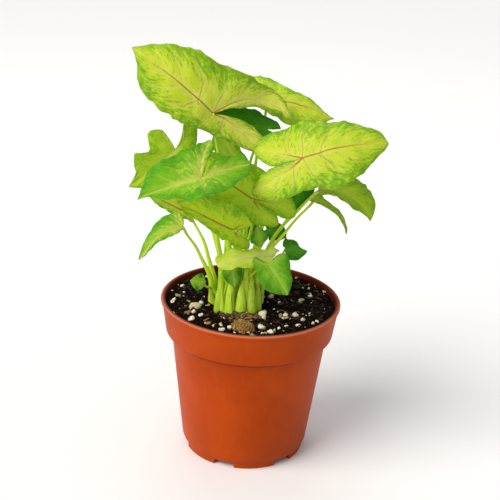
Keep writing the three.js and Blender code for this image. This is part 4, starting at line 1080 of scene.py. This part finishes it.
makeCrown()
makeSheaths()
print("crown made")

studio = {
    "camera": dict(at=(-2, -684.7, 404.4), target=(-2, 10.7, 123.4), lens=89.8, roll=3),
    "sky": dict(colour=(0.95, 0.97, 1.0, 1), power=0.44),
    "sun": dict(at=(-0.85, -0.62, 0.95), spread=46, power=2.95, colour=(1, 0.98, 0.94)),
    "fill": dict(at=(300, -900, 900), size=600, power=0.65, colour=(1, 1, 1)),
    "back": dict(at=(-100, 600, 900), size=600, power=2.0, colour=(1, 1, 1)),
    "floor": dict(half=6000, colour="#f2f1ef", tooth="#e9e8e6"),
}
plantMiddle = (0, 0, 120)


def aimed(at, target, roll=0):
    # a matrix at the point at that looks to target: -Z ahead, +Y up, turned by roll degrees
    ahead = unit(np.subtract(target, at))
    right = unit(np.cross(ahead, (0, 0, 1)))
    up = np.cross(right, ahead)
    c, s = math.cos(math.radians(roll)), math.sin(math.radians(roll))
    matrix = np.eye(4)
    matrix[:3, 0], matrix[:3, 1], matrix[:3, 2] = right * c + up * s, up * c - right * s, -ahead
    matrix[:3, 3] = np.array(at) * mm
    return matrix.tolist()


def putInScene(name, data, at, target, roll=0):
    # adds a camera or a light that stands at one point and looks to the other
    thing = bpy.data.objects.new(name, data)
    scene.collection.objects.link(thing)
    thing.matrix_world = mathutils.Matrix(aimed(at, target, roll))
    return thing


scene = bpy.context.scene
scene.view_settings.view_transform = "Standard"
form = studio["camera"]
lens = bpy.data.cameras.new("camera")
lens.lens, lens.sensor_width = form["lens"], 36
lens.clip_start, lens.clip_end = 0.05, 20
lens.dof.use_dof = False
scene.camera = putInScene("camera", lens, form["at"], form["target"], form["roll"])

form = studio["sun"]
sun = bpy.data.lights.new("sun", "SUN")
sun.energy, sun.color, sun.angle = form["power"], form["colour"], math.radians(form["spread"])
putInScene("sun", sun, form["at"], (0, 0, 0))

for name in ("fill", "back"):
    form = studio[name]
    light = bpy.data.lights.new(name, "AREA")
    light.size, light.energy, light.color = form["size"] * mm, form["power"], form["colour"]
    putInScene(name, light, form["at"], plantMiddle)

world = bpy.data.worlds.new("studio")
world.use_nodes = True
scene.world = world
sky = world.node_tree.nodes["Background"]
sky.inputs["Color"].default_value = studio["sky"]["colour"]
sky.inputs["Strength"].default_value = studio["sky"]["power"]

form = studio["floor"]
plate = np.array([(-1, -1, 0), (1, -1, 0), (1, 1, 0), (-1, 1, 0)]) * form["half"] * mm
floorMesh = bpy.data.meshes.new("floor")
floorMesh.from_pydata(plate.tolist(), [], [(0, 1, 2, 3)])
floor = bpy.data.objects.new("floor", floorMesh)
scene.collection.objects.link(floor)
paper = Skin("paper", 0.1)
tooth = paper.noise(paper.place(), 600, 2)
paper.wear(paper.blend(tooth * 0.2, form["colour"], form["tooth"]), 0.85 + tooth * 0.1)
floorMesh.materials.append(paper.material)
print("studio set")

print("cad box", [[round(c * 1000, 1) for c in corner] for corner in cadBox])
